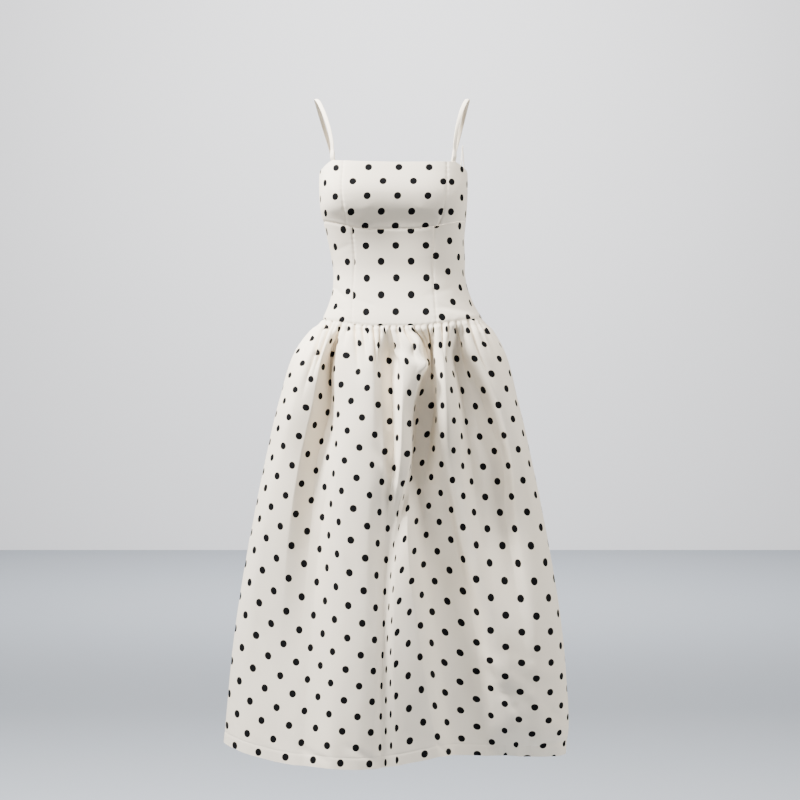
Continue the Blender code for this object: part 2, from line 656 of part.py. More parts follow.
def inside_place(angle, height, thick, flat=0.0):
    """A place just behind a bodice panel's inner face, and the level way across the panel.

    flat is half the angle of the panel's flat facet there, or 0 on one of its columns.
    """
    point, normal = bodice_row(np.array([angle - flat, angle, angle + flat]), np.full(3, height), level=True)
    middle, outward = 0.5 * (point[0] + point[2]), 0.5 * (normal[0] + normal[2])
    place = Vector(middle - outward * (0.5 * WALL + STRAP_CLEAR * MM + 0.5 * thick))
    return place, Vector((-outward[1], outward[0], 0.0)).normalized()


def make_straps():
    """The two straps, sewn inside the front corners and the back edge."""
    level = Vector((1, 0, 0))
    thick = STRAP_END_THICK * MM
    wide = STRAP_STATIONS[-1].width * MM
    for name, sign, front_x in (("strap_right", -1, STRAP_FRONT_X[0]), ("strap_left", 1, STRAP_FRONT_X[1])):
        knots = []
        front_angle = angle_at(front_x, STRAP_FRONT_HEIGHTS[1] * MM)
        for height in STRAP_FRONT_HEIGHTS:
            place, across = inside_place(front_angle, height * MM, thick, STRAP_FLAT)
            knots.append((place, across, wide, thick))
        front_across = across
        ends = [
            inside_place(sign * STRAP_BACK_ANGLE, height * MM, thick, STRAP_FLAT)
            for height in STRAP_BACK_HEIGHTS
        ]
        back_across = -ends[0][1]
        top = max(row.z for row in STRAP_STATIONS)
        for row in STRAP_STATIONS:
            turn = smooth((top - row.z) / STRAP_TURN)
            across = level.lerp(front_across if row.y < 0 else back_across, float(turn))
            shift = (front_x - sign * STRAP_STATIONS[0].x) * turn * (row.y < 0)
            place = Vector((sign * row.x + shift, row.y, row.z)) * MM
            knots.append((place, across, row.width * MM, row.thick * MM))
        knots += [(place, back_across, wide, thick) for place, _ in ends]
        ribbon(name, smooth_stations(knots, STRAP_STEPS), PLAIN)


def smooth_stations(knots, steps):
    """Stations on a smooth curve through the knots."""
    values = np.array([(*place, *across, width, thick) for place, across, width, thick in knots])
    padded = np.vstack([2 * values[0] - values[1], values, 2 * values[-1] - values[-2]])
    result = []
    for i in range(len(values) - 1):
        p0, p1, p2, p3 = padded[i:i + 4]
        for t in np.arange(steps) / steps:
            result.append(0.5 * (2 * p1 + (p2 - p0) * t + (2 * p0 - 5 * p1 + 4 * p2 - p3) * t ** 2
                                 + (3 * p1 - p0 - 3 * p2 + p3) * t ** 3))
    result.append(values[-1])
    return [(row[:3], row[3:6], row[6], row[7]) for row in result]


def make_hanger_loop():
    """A cord loop that stands up out of the wearer's left armhole."""
    level = Vector((1, 0, 0))
    feet = [inside_place(angle, LOOP_FOOT * MM, LOOP_CORD)[0] for angle in LOOP_ANGLES]
    necks = [inside_place(angle, LOOP_NECK * MM, LOOP_CORD)[0] for angle in LOOP_ANGLES]
    top = 0.5 * (necks[0] + necks[1])
    top.z = LOOP_TOP * MM
    shoulders = [neck.lerp(top, 0.65) for neck in necks]
    route = [feet[0], necks[0], shoulders[0], top, shoulders[1], necks[1], feet[1]]
    line = bpy.data.curves.new("hanger_loop_route", "CURVE")
    line.dimensions = "3D"
    line.bevel_depth = 0.5 * LOOP_CORD
    line.bevel_resolution = 2
    line.use_fill_caps = True
    spline = line.splines.new("POLY")
    stations = smooth_stations([(place, level, 0.0, 0.0) for place in route], 3)
    spline.points.add(len(stations) - 1)
    for point, station in zip(spline.points, stations):
        point.co = (*station[0], 1.0)
    return add_object_curve("hanger_loop_left", line, PLAIN)


def add_object_curve(name, line, finish):
    """Put a curve in the dress's collection under its piece's name."""
    made = bpy.data.objects.new(name, line)
    dress.objects.link(made)
    line.materials.append(finish)
    return made


# ---------------------------------------------------------------- zip slider and pull

def extruded(name, outline, hole, thickness):
    """A flat plate from an outline, and maybe a hole, in the XY plane of a new mesh."""
    line = bpy.data.curves.new(name + "_outline", "CURVE")
    line.dimensions = "2D"
    line.fill_mode = "BOTH"
    line.extrude = 0.5 * thickness
    for loop in (outline, hole):
        if loop:
            spline = line.splines.new("POLY")
            spline.points.add(len(loop) - 1)
            for point, place in zip(spline.points, loop):
                point.co = (place[0], place[1], 0.0, 1.0)
            spline.use_cyclic_u = True
    holder = bpy.data.objects.new(name + "_outline", line)
    dress.objects.link(holder)
    graph = bpy.context.evaluated_depsgraph_get()
    mesh = bpy.data.meshes.new_from_object(holder.evaluated_get(graph))
    mesh.name = name
    bm = bmesh.new()
    bm.from_mesh(mesh)
    bmesh.ops.remove_doubles(bm, verts=bm.verts, dist=0.01 * MM)
    bmesh.ops.recalc_face_normals(bm, faces=bm.faces)
    bm.to_mesh(mesh)
    bm.free()
    bpy.data.objects.remove(holder, do_unlink=True)
    return mesh


def make_zip_hardware():
    """The slider with its bail, and the pull tab that hangs from it."""
    back = bodice_point(180.0, SLIDER_HEIGHT)
    face = back[1] + 0.5 * WALL + SLIDER_STAND
    width, deep, tall = (size * MM for size in SLIDER_SIZE)

    bpy.ops.mesh.primitive_cube_add(size=1.0, location=(back[0], face + 0.5 * deep, back[2]))
    slider = bpy.context.object
    slider.name = "zip_slider"
    slider.data.name = "zip_slider"
    slider.data.transform(Matrix.Diagonal((width, deep, tall, 1.0)))
    for holder in list(slider.users_collection):
        holder.objects.unlink(slider)
    dress.objects.link(slider)
    slider.data.materials.append(METAL)
    rounding = slider.modifiers.new("rounded_edges", "BEVEL")
    rounding.width = 0.9 * MM
    rounding.segments = 2

    foot, high = 0.5 * BAIL_LENGTH * MM, (BAIL_HOLE + BAIL_BAR) * MM
    inside, under = foot - 1.2 * MM, BAIL_HOLE * MM
    sunk = -0.8 * MM
    arch = (
        (-foot, sunk), (-inside, sunk), (-inside, under), (inside, under), (inside, sunk), (foot, sunk),
        (foot, high - 1.0 * MM), (foot - 1.0 * MM, high), (-foot + 1.0 * MM, high), (-foot, high - 1.0 * MM),
    )
    bail_mesh = extruded("bail", arch, None, BAIL_WIDTH * MM)
    bail = bpy.data.objects.new("bail_cutter", bail_mesh)
    cutters.objects.link(bail)
    bail.matrix_world = Matrix((
        (0, 0, 1, back[0]), (0, 1, 0, face + deep), (1, 0, 0, back[2]), (0, 0, 0, 1),
    ))
    bail.hide_render = True
    bail.display_type = "WIRE"
    joined = slider.modifiers.new("bail", "BOOLEAN")
    joined.operation = "UNION"
    joined.object = bail

    axis = Vector((back[0], face + deep + 0.5 * BAIL_HOLE * MM, back[2]))
    bar = 0.5 * PULL_BAR * MM
    half_window, long_window = 0.5 * PULL_WINDOW[0] * MM, PULL_WINDOW[1] * MM
    neck, wide = (0.5 * size * MM for size in PULL_WIDTHS)
    length = PULL_LENGTH * MM
    end_centre = -(length - wide)
    turns = np.radians(np.linspace(0, -180, 9))
    outline = [(neck, -long_window - bar), (neck, bar), (-neck, bar), (-neck, -long_window - bar)]
    outline += [(-wide * np.cos(-turn), end_centre + wide * np.sin(turn)) for turn in turns]
    window = [
        (-half_window, -bar), (half_window, -bar), (half_window, -bar - long_window),
        (-half_window, -bar - long_window),
    ]
    pull = add_object("zip_pull", extruded("zip_pull", outline, window, PULL_THICK * MM), METAL)
    pull.matrix_world = Matrix((
        (1, 0, 0, axis.x), (0, 0, -1, axis.y), (0, 1, 0, axis.z), (0, 0, 0, 1),
    ))


cutters = bpy.data.collections.new("cutters")
bpy.context.scene.collection.children.link(cutters)

make_bodice()
make_skirt()
make_zip_tapes()
make_straps()
make_hanger_loop()
make_zip_hardware()
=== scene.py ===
"""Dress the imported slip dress: fine gathered cloth, charted dots, straps, zip and a studio.

Metres, +Z up, the dress's front towards -Y and +X the wearer's left. Tables are in millimetres
and degrees. An angle round the body is 0 at the centre front, 90 at the wearer's left side and
180 at the centre back.
"""
import logging
from dataclasses import dataclass, field
from enum import Enum
from math import pi, radians
from typing import Any, Callable, NamedTuple, Sequence

import bpy
import numpy as np
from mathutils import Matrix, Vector


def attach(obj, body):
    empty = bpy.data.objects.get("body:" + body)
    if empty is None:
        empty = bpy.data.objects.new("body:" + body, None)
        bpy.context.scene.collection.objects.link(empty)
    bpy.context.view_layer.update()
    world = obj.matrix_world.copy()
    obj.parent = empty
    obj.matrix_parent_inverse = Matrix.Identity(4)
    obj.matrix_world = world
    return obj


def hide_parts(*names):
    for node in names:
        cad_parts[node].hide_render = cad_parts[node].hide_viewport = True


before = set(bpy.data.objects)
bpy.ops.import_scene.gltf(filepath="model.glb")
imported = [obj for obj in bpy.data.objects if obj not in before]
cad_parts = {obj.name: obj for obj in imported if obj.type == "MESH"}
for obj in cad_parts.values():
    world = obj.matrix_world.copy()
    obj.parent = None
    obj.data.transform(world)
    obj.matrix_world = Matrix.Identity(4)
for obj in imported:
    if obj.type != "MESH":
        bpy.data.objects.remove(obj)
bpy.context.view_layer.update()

MM = 0.001
HALF_COLUMN = 27.0              # half the dots' spacing across the cloth, in millimetres
HALF_ROW = 27.2                 # half their spacing down the cloth, in millimetres
SEAM_GAP = 0.36 * MM            # left open between two pieces at a seam
Array = np.ndarray
Pair = tuple[float, float]
Triple = tuple[float, float, float]
Socket = bpy.types.NodeSocket
Thing = bpy.types.Object
Material = bpy.types.Material
Edge = Callable[[Array], Array]
log = logging.getLogger("slip_dress")


class Slot(Enum):
    """The record's material slots."""

    DOTTED = "dotted_cloth"
    PLAIN = "plain_cloth"
    TAPE = "zip_tape"
    METAL = "zip_metal"


class Body(Enum):
    """The body that the pieces built here ride on."""

    DRESS = "dress"


class Held(Enum):
    """How a cut piece of cloth is held in the finished dress."""

    GATHERED = "gathered"
    HUNG = "hung"
    STRETCHED = "stretched"


class Rim(Enum):
    """The level lines that the bodice's panels end at."""

    TOP = "top"
    UNDERBUST = "underbust"
    WAIST = "waist"


class Line(Enum):
    """The lines down the bodice where its panels meet; left and right are the wearer's."""

    BACK_RIGHT = "back_right"
    SIDE_RIGHT = "side_right"
    BUST_RIGHT = "bust_right"
    MIDRIFF_RIGHT = "midriff_right"
    MIDRIFF_LEFT = "midriff_left"
    BUST_LEFT = "bust_left"
    SIDE_LEFT = "side_left"
    BACK_LEFT = "back_left"


# ------------------------------------------------------------------ curves and grids


def rows_of(kind: Callable, *rows: tuple) -> tuple:
    """Make one named row from each plain one."""
    return tuple(kind(*row) for row in rows)


def smooth(value: Array | float) -> Array:
    """Ease from 0 to 1 with level ends."""
    value = np.clip(value, 0.0, 1.0)
    return value * value * (3.0 - 2.0 * value)


def unit(vectors: Array) -> Array:
    """The same directions, one metre long."""
    return vectors / np.maximum(np.linalg.norm(vectors, axis=-1, keepdims=True), 1e-12)


def through(knots: Sequence[float], values: Array, at: Array | float) -> Array:
    """Read a smooth line through its knots.

    Args:
        knots: Rising places of the knots.
        values: The value at every knot, along the first axis.
        at: Where to read it.

    Returns:
        The values there, held level past the two ends.
    """
    knots = np.asarray(knots, float)
    values = np.asarray(values, float)
    at = np.asarray(at, float)
    slopes = np.gradient(values, knots, axis=0)
    span = np.clip(np.searchsorted(knots, at, side="right") - 1, 0, len(knots) - 2)
    width = knots[span + 1] - knots[span]
    t = np.clip((at - knots[span]) / width, 0.0, 1.0)
    if values.ndim > 1:
        shape = t.shape + (1,) * (values.ndim - 1)
        t, width = t.reshape(shape), width.reshape(shape)
    return (
        (2 * t**3 - 3 * t**2 + 1) * values[span] + (t**3 - 2 * t**2 + t) * width * slopes[span]
        + (3 * t**2 - 2 * t**3) * values[span + 1] + (t**3 - t**2) * width * slopes[span + 1]
    )


def beyond(at: Array, knots: Array, values: Array) -> Array:
    """Read straight lines through the knots, carried on past both ends.

    Args:
        at: Where to read them.
        knots: Rising places of the knots.
        values: The value at every knot.

    Returns:
        The values there.
    """
    first = (values[1] - values[0]) / (knots[1] - knots[0])
    last = (values[-1] - values[-2]) / (knots[-1] - knots[-2])
    inside = np.interp(at, knots, values)
    return inside + np.minimum(at - knots[0], 0.0) * first + np.maximum(at - knots[-1], 0.0) * last


def run_length(points: Array) -> Array:
    """Measure along rows of points.

    Args:
        points: The points, a row along the axis before the last.

    Returns:
        The length along each row from its first point.
    """
    steps = np.linalg.norm(np.diff(points, axis=-2), axis=-1)
    start = np.zeros(steps.shape[:-1] + (1,))
    return np.concatenate([start, np.cumsum(steps, axis=-1)], axis=-1)


def closer_ends(count: int) -> Array:
    """Steps from 0 to 1 that lie closer together towards both ends."""
    even = np.linspace(0, 1, count)
    return 0.45 * (0.5 - 0.5 * np.cos(pi * even)) + 0.55 * even


def part_sides(points: Array) -> None:
    """Move a grid's two side columns in by half a seam gap."""
    for here, inside in ((0, 1), (-1, -2)):
        points[:, here] += unit(points[:, inside] - points[:, here]) * 0.5 * SEAM_GAP


def outward(points: Array) -> Array:
    """Outward normals of a grid whose rows go down and whose columns go with the angle."""
    return unit(np.cross(np.gradient(points, axis=0), np.gradient(points, axis=1)))


def on_cloth(across: Array, down: Array) -> Array:
    """Cloth places, in half dot spacings, from lengths across and down the cloth."""
    return np.stack([across / (HALF_COLUMN * MM), down / (HALF_ROW * MM)], axis=-1)


def wander(value: Array, seed: float) -> Array:
    """A slow, uneven swing between about -1 and 1, the same every time."""
    slow, quick = np.sin(value + seed), np.sin(2.3 * value + 1.7 * seed)
    return 0.5 * slow + 0.3 * quick + 0.2 * np.sin(4.1 * value - seed)


@dataclass(frozen=True)
class FrontView:
    """Places seen from the front, in a square picture 800 wide."""

    eye: Triple = (0.0126, -3.5, -0.54)
    focal: float = 1944.4
    centre: float = 400.0

    def seen(self, points: Array) -> Array:
        """Find where points are seen.

        Args:
            points: The points, in metres.

        Returns:
            Their places in the picture, across and down.
        """
        scale = self.focal / (points[..., 1] - self.eye[1])
        across = self.centre + (points[..., 0] - self.eye[0]) * scale
        down = self.centre - (points[..., 2] - self.eye[2]) * scale
        return np.stack([across, down], axis=-1)

    def reach(self, across: Array | float, depth: Array | float) -> Array:
        """Sideways place of what is seen at a picture column, at a depth."""
        off = np.asarray(across) - self.centre
        return self.eye[0] + off * (np.asarray(depth) - self.eye[1]) / self.focal


VIEW = FrontView()


class Crease(NamedTuple):
    """A soft crease drawn in the front view: two ends, half width, and depth in millimetres."""

    start: Pair
    end: Pair
    width: float
    depth: float

    def push(self, seen: Array) -> Array:
        """Work out what the crease does.

        Args:
            seen: Where the points are seen.

        Returns:
            How far each moves outward, in metres.
        """
        start, end = np.array(self.start), np.array(self.end)
        way = end - start
        share = ((seen - start) @ way) / (way @ way)
        aside = seen - start - np.clip(share, 0.0, 1.0)[..., None] * way
        off = np.linalg.norm(aside, axis=-1) / self.width
        ends = smooth(share / 0.35 + 0.4) * smooth((1.0 - share) / 0.35 + 0.4)
        return self.depth * MM * np.exp(-off * off) * ends


class Tug(NamedTuple):
    """A small pull at a place in the front view: its reach, and millimetres sideways and out."""

    place: Pair
    reach: float
    aside: float
    outward: float

    def pull(self, seen: Array) -> Array:
        """Work out what the pull does.

        Args:
            seen: Where the points are seen.

        Returns:
            How far each moves, in metres.
        """
        off = (seen - np.array(self.place)) / np.array([self.reach, 0.8 * self.reach])
        share = np.exp(-np.sum(off * off, axis=-1))[..., None]
        return share * np.array([self.aside, -self.outward, 0.0]) * MM


# ------------------------------------------------------------------ finishes


class Bench:
    """A short way to lay out a material's nodes."""

    def __init__(self, name: str) -> None:
        """Start a material with its surface shader.

        Args:
            name: The material's name.
        """
        self.material = bpy.data.materials.new(name)
        self.material.use_nodes = True
        self.tree = self.material.node_tree
        self.shader = self.tree.nodes["Principled BSDF"]

    def add(
        self, kind: str, inputs: dict[Any, Any] | None = None, **settings: Any,
    ) -> bpy.types.Node:
        """Add a node.

        Args:
            kind: The node's type.
            inputs: Its inputs, each a value or another node's output.
            **settings: Its own settings.

        Returns:
            The node.
        """
        node = self.tree.nodes.new(kind)
        for name, value in settings.items():
            setattr(node, name, value)
        for key, value in (inputs or {}).items():
            self.join(value, node.inputs[key])
        return node

    def join(self, value: Any, socket: Socket) -> None:
        """Link an output to a socket, or set the socket's value.

        Args:
            value: A value or another node's output.
            socket: The input that takes it.
        """
        if isinstance(value, Socket):
            self.tree.links.new(value, socket)
        else:
            socket.default_value = value

    def sum(self, operation: str, *values: Any) -> Socket:
        """The result of one sum on numbers or outputs."""
        return self.add("ShaderNodeMath", dict(enumerate(values)), operation=operation).outputs[0]

    def ease(self, value: Any, low: float, high: float) -> Socket:
        """0 at low, 1 at high, eased between."""
        inputs = {"Value": value, "From Min": low, "From Max": high}
        return self.add("ShaderNodeMapRange", inputs, interpolation_type="SMOOTHSTEP").outputs[0]

    def mix(self, share: Any, one: Any, other: Any) -> Socket:
        """Mix two colours.

        Args:
            share: How much of the other one is in it.
            one: A colour.
            other: Another.

        Returns:
            The colour between them.
        """
        node = self.add("ShaderNodeMix", data_type="RGBA")
        for key, value in ((0, share), (6, one), (7, other)):
            self.join(value, node.inputs[key])
        return node.outputs[2]

    def mist(self, scale: float, detail: float = 2.0, stretch: Triple = (1, 1, 1)) -> Socket:
        """Lay soft noise over the piece, in its own place.

        Args:
            scale: How fine it is.
            detail: How many finer layers it has.
            stretch: Its scale along the three axes.

        Returns:
            The noise, from 0 to 1.
        """
        place = self.add("ShaderNodeTexCoord").outputs["Object"]
        laid = self.add("ShaderNodeMapping", {0: place, "Scale": stretch}).outputs[0]
        inputs = {"Vector": laid, "Scale": scale, "Detail": detail}
        return self.add("ShaderNodeTexNoise", inputs).outputs["Fac"]

    def threads(self) -> tuple[Socket, Socket]:
        """Read the cloth's own two directions.

        Returns:
            Across and down the cloth, in half dot spacings.
        """
        laid = self.add("ShaderNodeUVMap", uv_map="cloth").outputs[0]
        parts = self.add("ShaderNodeSeparateXYZ", {0: laid})
        return parts.outputs[0], parts.outputs[1]

    def bump(self, strength: float, depth: float, height: Socket) -> Socket:
        """The surface's direction on a relief of a depth in millimetres."""
        inputs = {"Strength": strength, "Distance": depth * MM, "Height": height}
        return self.add("ShaderNodeBump", inputs).outputs[0]

    def surface(self, **values: Any) -> None:
        """Set the surface shader's inputs; underscores in a name stand for spaces."""
        for name, value in values.items():
            self.join(value, self.shader.inputs[name.replace("_", " ")])


@dataclass(frozen=True)
class PlainCloth:
    """Firm plain-woven cotton."""

    name: str = "plain_cotton"
    slot: Slot = Slot.PLAIN
    colour: Triple = (0.885, 0.795, 0.655)
    shade: Triple = (0.850, 0.735, 0.560)
    roughness: float = 0.90
    thread: float = 0.42
    weave_depth: float = 0.05

    def weave(self, bench: Bench) -> Socket:
        """Weave threads that pass over and under each other.

        Args:
            bench: The material's bench.

        Returns:
            The height of the weave.
        """
        across, down = bench.threads()
        warp = bench.sum("MULTIPLY", across, HALF_COLUMN * pi / self.thread)
        weft = bench.sum("MULTIPLY", down, HALF_ROW * pi / self.thread)
        crossing = bench.sum("MULTIPLY", bench.sum("SINE", warp), bench.sum("SINE", weft))
        slub = bench.mist(900.0, 3.0, (1.0, 1.0, 0.35))
        return bench.sum("ADD", bench.sum("MULTIPLY", crossing, 0.5), slub)

    def ground(self, bench: Bench) -> Socket:
        """Colour the cloth a little unevenly, as natural cotton is.

        Args:
            bench: The material's bench.

        Returns:
            The colour.
        """
        shade = (*self.shade, 1.0)
        cloudy = bench.ease(bench.mist(7.0, 3.0), 0.3, 0.72)
        soft = bench.mix(bench.sum("MULTIPLY", cloudy, 0.3), (*self.colour, 1.0), shade)
        fleck = bench.ease(bench.mist(700.0, 2.0, (1.0, 1.0, 0.25)), 0.62, 0.78)
        return bench.mix(bench.sum("MULTIPLY", fleck, 0.12), soft, shade)

    def build(self) -> Material:
        """Make the material.

        Returns:
            The material.
        """
        bench = Bench(self.name)
        self.finish(bench, self.ground(bench))
        return bench.material

    def finish(self, bench: Bench, colour: Socket) -> None:
        """Dress the surface shader with a colour and the weave.

        Args:
            bench: The material's bench.
            colour: The cloth's colour.
        """
        bump = bench.bump(0.35, self.weave_depth, self.weave(bench))
        bench.surface(
            Base_Color=colour, Normal=bump, Roughness=self.roughness, Specular_IOR_Level=0.10,
        )


@dataclass(frozen=True)
class DottedCloth(PlainCloth):
    """The same cotton printed with round dots in staggered rows."""

    name: str = "dotted_cotton"
    slot: Slot = Slot.DOTTED
    dot: Triple = (0.0030, 0.0030, 0.0036)
    radius: float = 6.45
    edge: float = 0.35

    def spacing(self, bench: Bench, shift: float) -> Socket:
        """Measure to the nearest dot of one of the two sets of rows.

        Args:
            bench: The material's bench.
            shift: Where the set starts, in half dot spacings.

        Returns:
            The distance, in millimetres.
        """
        squares = []
        for way, half in zip(bench.threads(), (HALF_COLUMN, HALF_ROW)):
            moved = bench.sum("ADD", way, shift)
            near = bench.sum("MULTIPLY", bench.sum("WRAP", moved, 1.0, -1.0), half)
            squares.append(bench.sum("MULTIPLY", near, near))
        return bench.sum("SQRT", bench.sum("ADD", *squares))

    def build(self) -> Material:
        """Make the material.

        Returns:
            The material.
        """
        bench = Bench(self.name)
        nearest = bench.sum("MINIMUM", self.spacing(bench, 0.0), self.spacing(bench, 1.0))
        ragged = bench.sum("MULTIPLY", bench.sum("SUBTRACT", bench.mist(600.0), 0.5), 0.6)
        near = bench.sum("ADD", nearest, ragged)
        inside = bench.ease(near, self.radius + self.edge, self.radius - self.edge)
        printed = bench.mix(inside, self.ground(bench), (*self.dot, 1.0))
        self.finish(bench, printed)
        return bench.material


@dataclass(frozen=True)
class ZipTape:
    """Narrow twill tape, ribbed along its length, with painted shade in its grooves."""

    name: str = "zip_tape_twill"
    slot: Slot = Slot.TAPE
    colour: Triple = (0.78, 0.76, 0.71)
    rib: float = 0.5
    # how much of the colour stays in the grooves between the ribs: painted shade
    groove_shade: float = 0.9

    def build(self) -> Material:
        """Make the material.

        Returns:
            The material.
        """
        bench = Bench(self.name)
        across, down = bench.threads()
        across = bench.sum("MULTIPLY", across, HALF_COLUMN)
        down = bench.sum("MULTIPLY", down, HALF_ROW)
        slant = bench.sum("ADD", across, down)
        rib = bench.sum("SINE", bench.sum("MULTIPLY", slant, 2 * pi / self.rib))
        # the grooves between the ribs are painted darker than the ribs: painted shade
        groove_shade = (*(part * self.groove_shade for part in self.colour), 1.0)
        colour = bench.mix(bench.ease(rib, -1.0, 1.0), groove_shade, (*self.colour, 1.0))
        bump = bench.bump(0.5, 0.1, rib)
        bench.surface(Base_Color=colour, Normal=bump, Roughness=0.8, Specular_IOR_Level=0.3)
        return bench.material


@dataclass(frozen=True)
class ZipMetal:
    """Satin nickel, with fine rubbed marks."""

    name: str = "zip_nickel"
    slot: Slot = Slot.METAL
    colour: Triple = (0.72, 0.70, 0.66)
    wear: float = 0.86

    def build(self) -> Material:
        """Make the material.

        Returns:
            The material.
        """
        bench = Bench(self.name)
        rubbed = bench.mist(2500.0, 2.0, (1.0, 1.0, 0.08))
        worn = bench.ease(bench.mist(300.0, 3.0), 0.45, 0.7)
        rough = bench.sum("ADD", bench.sum("MULTIPLY", rubbed, 0.25), 0.17)
        dull = (*(part * self.wear for part in self.colour), 1.0)
        colour = bench.mix(worn, (*self.colour, 1.0), dull)
        bump = bench.bump(0.12, 0.05, rubbed)
        bench.surface(Base_Color=colour, Normal=bump, Roughness=rough, Metallic=1.0)
        return bench.material


@dataclass(frozen=True)
class StudioPaint:
    """Plain matte paint for the floor and the wall."""

    name: str
    colour: Triple

    def build(self) -> Material:
        """Make the material.

        Returns:
            The material.
        """
        bench = Bench(self.name)
        bench.surface(Base_Color=(*self.colour, 1.0), Roughness=0.9, Specular_IOR_Level=0.1)
        return bench.material


@dataclass
class Finishes:
    """Every finish of the dress, made once."""

    made: dict[Slot, Material] = field(default_factory=dict)

    def __post_init__(self) -> None:
        """Make the four finishes."""
        for finish in (DottedCloth(), PlainCloth(), ZipTape(), ZipMetal()):
            self.made[finish.slot] = finish.build()


# ------------------------------------------------------------------ meshes


def put(
    name: str, points: Array, faces: list[Any], laid: Array, material: Material, crisp: float = 50,
) -> Thing:
    """Make an object from points and faces.

    Args:
        name: The piece's name.
        points: Its points in metres.
        faces: Its faces, as rows of point numbers.
        laid: The cloth place of every point, in half dot spacings.
        material: Its finish.
        crisp: Edges bent more than this stay sharp.

    Returns:
        The object, in the scene.
    """
    mesh = bpy.data.meshes.new(name)
    mesh.from_pydata(points.tolist(), [], faces)
    mesh.update()
    layer = mesh.uv_layers.new(name="cloth")
    corner = np.empty(len(mesh.loops), dtype=np.int32)
    mesh.loops.foreach_get("vertex_index", corner)
    layer.data.foreach_set("uv", laid[corner].astype(np.float32).ravel())
    mesh.materials.append(material)
    mesh.shade_smooth()
    mesh.set_sharp_from_angle(angle=radians(crisp))
    made = bpy.data.objects.new(name, mesh)
    bpy.context.scene.collection.objects.link(made)
    return made


def shell(
    name: str, points: Array, laid: Array, outer: Array | float, inner: Array | float,
    material: Material,
) -> Thing:
    """A closed thin cloth from a grid of middle points.

    Args:
        name: The piece's name.
        points: The grid, rows going down, columns going with the angle.
        laid: The cloth place of every grid point.
        outer: How far out the face stands, in metres.
        inner: How far in the back stands, less than nothing.
        material: Its finish.

    Returns:
        The object.
    """
    normals = outward(points)
    outer = np.broadcast_to(outer, points.shape[:2])[..., None]
    inner = np.broadcast_to(inner, points.shape[:2])[..., None]
    count = points.shape[0] * points.shape[1]
    index = np.arange(count).reshape(points.shape[:2])
    a, b = index[:-1, :-1].ravel(), index[:-1, 1:].ravel()
    c, d = index[1:, 1:].ravel(), index[1:, :-1].ravel()
    faces = [np.stack([a, d, c, b], axis=1), np.stack([a, b, c, d], axis=1) + count]
    rims = (index[0], index[-1][::-1], index[::-1, 0], index[:, -1])
    for rim in rims:
        one, two = rim[:-1], rim[1:]
        faces.append(np.stack([one, two, two + count, one + count], axis=1))
    both = np.concatenate([(points + normals * stand).reshape(-1, 3) for stand in (outer, inner)])
    flat = laid.reshape(-1, 2)
    return put(name, both, np.concatenate(faces).tolist(), np.concatenate([flat, flat]), material)


def ribbon(name: str, stations: Array, profile: Array, material: Material) -> Thing:
    """A closed strap or cord.

    Args:
        name: The piece's name.
        stations: Rows of place, way across, width and thickness, in metres.
        profile: Its section, for a width and a thickness of 1.
        material: Its finish.

    Returns:
        The object.
    """
    places = stations[:, :3]
    along = unit(np.gradient(places, axis=0))
    across = stations[:, 3:6]
    across = unit(across - along * np.sum(across * along, axis=1, keepdims=True))
    over = np.cross(along, across)
    rings = (
        places[:, None] + across[:, None] * (profile[None, :, :1] * stations[:, None, 6:7])
        + over[:, None] * (profile[None, :, 1:] * stations[:, None, 7:8])
    )
    rows, sides = rings.shape[:2]
    index = np.arange(rows * sides).reshape(rows, sides)
    a, b = index[:-1].ravel(), np.roll(index, -1, axis=1)[:-1].ravel()
    c, d = np.roll(index, -1, axis=1)[1:].ravel(), index[1:].ravel()
    faces = np.stack([a, b, c, d], axis=1).tolist() + [index[0][::-1].tolist(), index[-1].tolist()]
    girth = run_length(np.concatenate([rings, rings[:, :1]], axis=1))[:, :-1]
    down = np.broadcast_to(run_length(places)[:, None], girth.shape)
    laid = on_cloth(girth, down).reshape(-1, 2)
    return put(name, rings.reshape(-1, 3), faces, laid, material, crisp=40)


def eased_stations(knots: Array, steps: int) -> Array:
    """Stations on a smooth curve through knots, with the given steps between two."""
    at = np.linspace(0, len(knots) - 1, (len(knots) - 1) * steps + 1)
    return through(np.arange(len(knots)), knots, at)


# ------------------------------------------------------------------ the bodice's form


class Section(NamedTuple):
    """The bodice at a height: its sizes, middle, squareness, and turn to the wearer's left."""

    height: float
    half_width: float
    front: float
    back: float
    centre_x: float
    squareness: float
    turn: float


class EdgePoint(NamedTuple):
    """Height of the top edge at an angle."""

    angle: float
    height: float


class SeamPoint(NamedTuple):
    """Distance of the wearer's right and left princess seams from the middle at a height."""

    height: float
    right: float
    left: float


